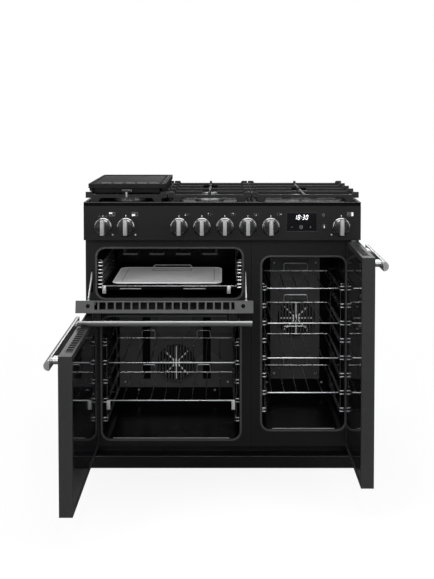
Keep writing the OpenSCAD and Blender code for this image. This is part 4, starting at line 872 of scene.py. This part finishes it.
digits = bmesh.new()
left, low = 0.2335, 0.8485
for symbol in "18:30":
    if symbol == ":":
        for dz in (0.0045, 0.0100):
            stroke(digits, left, low + dz - LINE / 2, left + LINE, low + dz + LINE / 2, low)
        left += 0.0040
        continue
    for name in DIGITS[symbol]:
        side, level = STROKES[name]
        z = low + level * DIGIT_H / 2
        if side == 0:
            stroke(digits, left + LINE, z - LINE / 2, left + DIGIT_W - LINE, z + LINE / 2, low)
        else:
            x = left if side < 0 else left + DIGIT_W - LINE
            reach = DIGIT_H / 4 - LINE / 2
            stroke(digits, x, z - reach, x + LINE, z + reach, low)
    left += DIGIT_STEP
add_piece("clock_digits", mesh_from(digits, digit_light), "cabinet", "clock_glass")

touch = bmesh.new()
for x, upright in ((0.2258, False), (0.2862, True)):
    flat(touch, x - 0.0026, 0.8233, x + 0.0026, 0.8242, CLOCK_Y)
    if upright:
        flat(touch, x - 0.00045, 0.8211, x + 0.00045, 0.8264, CLOCK_Y)
lathe(touch, [(0.0044, 0.0), (0.0044, INK), (0.0052, INK), (0.0052, 0.0), (0.0044, 0.0)],
      place_at(0.2563, CLOCK_Y, 0.8238, FORWARD), 40)
flat(touch, 0.2559, 0.8236, 0.2567, 0.8268, CLOCK_Y)
flat(touch, 0.2563, 0.8234, 0.2590, 0.8241, CLOCK_Y)
add_piece("clock_touch_signs", mesh_from(touch, grey_print), "cabinet", "clock_glass")
softened("clock_module", 0.0006, glass_black)
add_piece("clock_rim", blocks(plastic, [
    ((x0, -0.3046, z0), (x1, -0.3038, z1)) for x0, z0, x1, z1 in (
        (0.2092, 0.8092, 0.3078, 0.8104), (0.2092, 0.8696, 0.3078, 0.8704),
        (0.2092, 0.8104, 0.2100, 0.8696), (0.3070, 0.8104, 0.3078, 0.8696))], 0.0002, 1),
    "cabinet", "clock_glass")
print("clock ready")

# %% [markdown]
# ## Burners
# A burner is an aluminium crown with a ring of flame ports, under a black cap. A small spark
# electrode stands beside each one.

# %% Burners
BURNERS = ((-0.314, -0.139, 0.047), (-0.314, 0.081, 0.035), (-0.0425, -0.139, 0.047),
           (-0.0425, 0.081, 0.035), (0.2715, -0.029, 0.062))
WELL_Z = box("burner_caps")[1].z - 0.0175
PORT_STEP = 0.0058


def burner_parts(x, y, r):
    """Crown, cap and flame ports of one burner."""
    place = place_at(x, y, WELL_Z)
    crown = bmesh.new()
    lathe(crown, [(r + 0.004, 0.0), (r + 0.004, 0.0058), (r + 0.0028, 0.0070), (r, 0.0072),
                  (r - 0.0004, 0.0128), (r - 0.0016, 0.0140), (r - 0.0060, 0.0141)], place, 72)
    lathe(crown, [(0.018, 0.0), (0.018, -0.0385), (0.0, -0.0385)], place, 40)
    cap = turned(enamel, [
        (r - 0.0040, 0.0140), (r - 0.0040, 0.0158), (r - 0.0056, 0.0172), (r - 0.0090, 0.0175),
        (r * 0.45, 0.0168), (0.0, 0.0166)], [place], 72)
    # painted shade: each flame port is a dark block standing for the shaded hole
    port = blocks(plastic, [((r - 0.0010, -0.0011, 0.0082), (r + 0.0003, 0.0011, 0.0122))])
    ports = grown(port, (RING, {"Count": int(2 * math.pi * r / PORT_STEP),
                                "Centre": (x, y, WELL_Z), "Finish": plastic}))
    return mesh_from(crown, aluminium), cap, ports


crowns, caps = [], []
for x, y, r in BURNERS:
    crown, cap, ports = burner_parts(x, y, r)
    crowns += [crown, ports]
    caps.append(cap)
add_piece("burner_crowns", crowns, "cabinet", "burner_metal", "burner_bases")
add_piece("burner_lids", caps, "cabinet", "burner_enamel", "burner_caps")
add_piece("spark_electrodes", turned(lens, [
    (0.0030, 0.0), (0.0030, 0.0080), (0.0020, 0.0092), (0.0009, 0.0096), (0.0009, 0.0130),
    (0.0, 0.0132)], [place_at(x - 0.7 * (r + 0.009), y + 0.7 * (r + 0.009), WELL_Z)
                     for x, y, r in BURNERS], 16), "cabinet", "burner_metal")
print("burners", len(BURNERS))

# %% [markdown]
# ## Grill carriage
# The carriage is bent wire with two flat hooks in front. The trivet is a pressed plate with a
# raised rim, a wire handle at the back and pressed ribs.

# %% Carriage, pan details and trivet
RAIL_Z = 0.622
rim = [(-0.397, -0.258, RAIL_Z), (0.050, -0.258, RAIL_Z), (0.050, 0.092, RAIL_Z),
       (-0.397, 0.092, RAIL_Z), (-0.397, -0.258, RAIL_Z)]
hooks = blocks(tab_steel, [((x, -0.2602, RAIL_Z - 0.025), (x + 0.012, -0.2580, RAIL_Z + 0.002))
                           for x in (-0.396, 0.016)], 0.0006)
add_piece("carriage_wire", [wires([rim], 0.0022, chrome_painted_shade, bend_radius=0.005), hooks],
          "carriage", "shelf_chrome", "grill_carriage")


def rounded_outline(x0, y0, x1, y1, r, z, steps=6):
    """Points round a rectangle with round corners, back to the first."""
    points = []
    for cx, cy, start in ((x1 - r, y1 - r, 0), (x0 + r, y1 - r, 90), (x0 + r, y0 + r, 180),
                          (x1 - r, y0 + r, 270)):
        for k in range(steps + 1):
            a = math.radians(start + 90 * k / steps)
            points.append((cx + r * math.cos(a), cy + r * math.sin(a), z))
    return points + [points[0]]


LOW, HIGH = box("grill_trivet")
TOP, SHEET = HIGH.z, 0.0015
plate = bmesh.new()
outer = rounded_outline(LOW.x + 0.001, LOW.y + 0.001, HIGH.x - 0.001, HIGH.y - 0.001, 0.025,
                        TOP - 0.001)
face = plate.faces.new([plate.verts.new(p) for p in outer[:-1]])
for v in bmesh.ops.extrude_face_region(plate, geom=[face])["geom"]:
    if isinstance(v, bmesh.types.BMVert):
        v.co.z -= SHEET
for x in (LOW.x + 0.026, HIGH.x - 0.026):
    for y in (LOW.y + 0.026, HIGH.y - 0.026):
        lathe(plate, [(0.005, 0.0), (0.005, TOP - LOW.z - 0.0025)], place_at(x, y, LOW.z), 20)
ribs = [rounded_outline(LOW.x + 0.118 + inset / 2, -0.010 + inset, LOW.x + 0.256 + inset / 2,
                        0.030 - inset, 0.006, TOP - 0.0012, 3) for inset in (0.0, 0.004)]
ribs.append(rounded_outline(LOW.x + 0.030, LOW.y + 0.028, HIGH.x - 0.026, HIGH.y - 0.028, 0.014,
                            TOP - 0.0012, 4))
rim = rounded_outline(LOW.x + 0.0016, LOW.y + 0.0016, HIGH.x - 0.0016, HIGH.y - 0.0016, 0.024,
                      TOP - 0.0016)
middle, handle_y = LOW.x + 0.187, HIGH.y - 0.003
handle = [(middle - 0.069, handle_y, TOP - 0.002), (middle - 0.069, handle_y, TOP + 0.0085),
          (middle + 0.069, handle_y, TOP + 0.0085), (middle + 0.069, handle_y, TOP - 0.002)]
studs = turned(trivet_grey_painted_glow, [(0.0022, -0.0012), (0.0022, -0.0004), (0.0014, 0.0), (0.0, 0.0)], [
    place_at(LOW.x + x, LOW.y + y, TOP) for x, y in (
        (0.085, 0.060), (0.165, 0.105), (0.165, 0.165), (0.085, 0.205), (0.265, 0.105),
        (0.320, 0.080), (0.320, 0.205), (0.240, 0.205))], 12)
# painted highlight: two glowing strips on the trivet's front edge
lips = blocks(glowing_painted_highlight, [
    ((x, LOW.y + 0.0004, TOP - 0.0024), (x + 0.052, LOW.y + 0.0070, TOP - 0.0001))
    for x in (LOW.x + 0.060, LOW.x + 0.255)], 0.0006)
add_piece("trivet_pressed", [
    mesh_from(plate, trivet_grey_painted_glow), studs,
    wires([rim], 0.0016, glowing_painted_highlight, bend_radius=0.0, sides=8),
    wires(ribs, 0.0009, rib_grey_and_painted_glint, bend_radius=0.0, sides=6),
    wires([handle], 0.0019, tab_steel, bend_radius=0.008), lips], "carriage", "trivet_steel",
    "grill_trivet")

# Two light strips on the front of the grill pan.
pan_low = box("grill_pan")[0]
add_piece("pan_front_strips", blocks(grip_steel, [
    ((x0, pan_low.y - 0.0002, pan_low.z + 0.0035), (x1, pan_low.y + 0.0040, pan_low.z + 0.0065))
    for x0, x1 in ((-0.338, -0.268), (-0.128, -0.055))], 0.0009), "carriage", "pan_enamel")
print("carriage ready")

# %% [markdown]
# ## Small fittings
# A bead runs round each seal. The doors' air slots get a pressed grille, and the grill door's
# strip has two screws. The griddle has ribs, and a stop with a stem. The front frame has a seam,
# the back panel has louvres, screws and a cover, and the ovens have screws at the back.

# %% Seal beads
OPENINGS = ((-0.396, 0.113, 0.057, 0.519), (-0.411, 0.584, 0.064, 0.746),
            (0.133, 0.145, 0.405, 0.718))
BEAD_Y, GLINT_Y = -0.2647, -0.2622
# The beads take a painted highlight grey.
beads = []
for x0, z0, x1, z1 in OPENINGS:
    ring = rounded_outline(x0 - 0.0045, z0 - 0.0045, x1 + 0.0045, z1 + 0.0045, 0.0305, 0.0, 10)
    beads.append([(x, BEAD_Y, z) for x, z, _ in ring])
# painted highlight: straight bars along the bottom of two openings stand for the lit front lip of
# the oven floor
glints = [[(x0 + 0.034, GLINT_Y, z0 + 0.0015), (x1 - 0.034, GLINT_Y, z0 + 0.0015)]
          for x0, z0, x1, _ in (OPENINGS[0], OPENINGS[2])]
add_piece("seal_beads", [wires(beads, 0.0011, seal_painted_highlight, bend_radius=0.0, sides=8),
                         wires(glints, 0.0013, rib_grey_and_painted_glint, bend_radius=0.0, sides=8)],
          "cabinet", "seal_trim")

# %% Grilles in the doors' air slots
SLOT_STEP, BAR_W, GRILLE_UP, GRILLE_DOWN = 0.0252, 0.0052, 0.0004, 0.0002
NEAR_Y = -0.270
for side, out_x, in_x, far_y, top_z in (("left", -0.435, -0.413, -0.813, 0.537),
                                        ("right", 0.435, 0.413, -0.619, 0.775)):
    low_z, high_z = top_z - GRILLE_DOWN, top_z + GRILLE_UP
    slots = int((NEAR_Y - far_y - 0.068) / SLOT_STEP)
    first_y = (NEAR_Y + far_y) / 2 - (slots - 1) / 2 * SLOT_STEP
    bar = blocks(vent_grey, [((min(out_x, in_x), first_y - BAR_W / 2, low_z),
                              (max(out_x, in_x), first_y + BAR_W / 2, high_z))])
    sides = blocks(vent_grey, [((x - 0.0011, far_y + 0.032, low_z),
                                (x + 0.0011, NEAR_Y - 0.032, high_z)) for x in (out_x, in_x)],
                   0.0002, 1)
    add_piece(side + "_door_grille", [
        repeated(bar, vent_grey, slots, (0, SLOT_STEP, 0)), sides],
        BODY_OF[side + "_door_panel"], "door_black")

# %% Screws of the grill door's strip
DROP = Matrix.Translation((0, -0.284, 0.560)) @ Matrix.Rotation(math.radians(78), 4, "X")
SCREW = [(0.0064, -0.0004), (0.0064, 0.0005), (0.0058, 0.0009), (0.0042, 0.0009),
         (0.0038, 0.0002), (0.0016, 0.0002), (0.0010, 0.0006), (0.0, 0.0006)]
add_piece("strip_screws", turned(enamel_black_and_painted_shade, SCREW, [
    DROP @ Matrix.Translation((x, 0.0017, 0.215)) for x in (-0.410, 0.064)], 24),
    BODY_OF["grill_door_vent"], "door_black")

# %% Stem under the griddle's stop
STOP_X, GRATE_FRONT = -0.314, box("pan_support_left")[0].y
# The stem takes the painted highlight grey.
add_piece("stop_stem", blocks(stop_painted_highlight, [
    ((STOP_X - 0.0027, GRATE_FRONT - 0.0005, 0.9175),
     (STOP_X + 0.0027, GRATE_FRONT + 0.0010, 0.9350))], 0.0003, 1),
    BODY_OF["pan_support_left"], "support_iron")

# %% Ribs near the front of the griddle
# The ribs take the painted highlight grey.
rib = blocks(lip_painted_highlight, [((-0.405, -0.1940, 0.9560), (-0.374, -0.1860, 0.9583))], 0.0006, 1)
add_piece("griddle_ribs", repeated(rib, lip_painted_highlight, 5, (0.040, 0, 0)), BODY_OF["griddle"],
          "griddle_iron")

# %% Seam of the front frame
# A dark line for the joint, with a painted highlight strip beside it.
add_piece("frame_seam", [
    blocks(finish_of_line, [((x0, -0.2645, 0.0900), (x1, -0.2639, 0.7800))])
    for x0, x1, finish_of_line in ((0.0958, 0.0976, enamel_black_and_painted_shade), (0.0978, 0.0987, door_powder_painted_sheen))],
    "cabinet", "front_black")

# %% Louvres, screws and fittings of the back panel
BACK_FACE = box("back_panel")[1].y
DOME = [(0.0042, 0.0), (0.0042, 0.0008), (0.0030, 0.0022), (0.0, 0.0026)]
louvre = blocks(galvanised, [((-0.330, BACK_FACE - 0.0004, 0.600),
                              (-0.210, BACK_FACE + 0.0022, 0.606))], 0.0014)
head_places = [(-0.420 + 0.168 * k, z) for k in range(6) for z in (0.118, 0.872)]
head_places += [(x, z) for z in (0.300, 0.495, 0.690) for x in (-0.436, 0.436)]
cover = bmesh.new()
block(cover, (-0.400, BACK_FACE - 0.0004, 0.790), (-0.270, BACK_FACE + 0.0150, 0.850), 0.0020)
lathe(cover, [(0.0120, -0.0010), (0.0120, 0.0120), (0.0090, 0.0150), (0.0, 0.0150)],
      place_at(-0.235, BACK_FACE, 0.820, BACKWARD), 24)
nut = turned(brass, [(0.0150, -0.0004), (0.0150, 0.0085), (0.0138, 0.0095), (0.0, 0.0095)],
             [place_at(0.330, BACK_FACE, KNOB_Z, BACKWARD)], 6)
add_piece("back_fittings", [
    repeated(louvre, galvanised, 4, (0.180, 0, 0), 9, (0, 0, 0.016)),
    turned(tab_steel, DOME, [place_at(x, BACK_FACE - 0.0002, z, BACKWARD)
                             for x, z in head_places], 16),
    mesh_from(cover, plastic), nut], "cabinet", "galvanised")

# %% Back walls of the ovens
WALL_Y, COVER_Y = 0.1392, 0.1052
wall_heads = [(x, WALL_Y, z) for x, z in (
    (-0.3124, 0.152), (-0.028, 0.152), (0.167, 0.182), (0.372, 0.182))]
cover_heads = [(x, COVER_Y, z) for x, z in (
    (-0.360, 0.193), (0.021, 0.193), (-0.360, 0.483), (0.021, 0.483), (0.192, 0.225),
    (0.346, 0.225), (0.192, 0.638), (0.346, 0.638))]
add_piece("oven_screws", turned(tab_steel, DOME, [
    place_at(*spot, FORWARD) for spot in wall_heads + cover_heads], 16), "cabinet",
    "oven_enamel")
# painted shade: two flat dark strips on the main oven's fan cover
add_piece("cover_painted_shade_strips", blocks(enamel_black_and_painted_shade, [
    ((x - 0.0145, COVER_Y - 0.0006, 0.205), (x + 0.0145, COVER_Y, 0.501))
    for x in (-0.281, -0.057)]), "cabinet", "oven_enamel")
print("fittings ready")
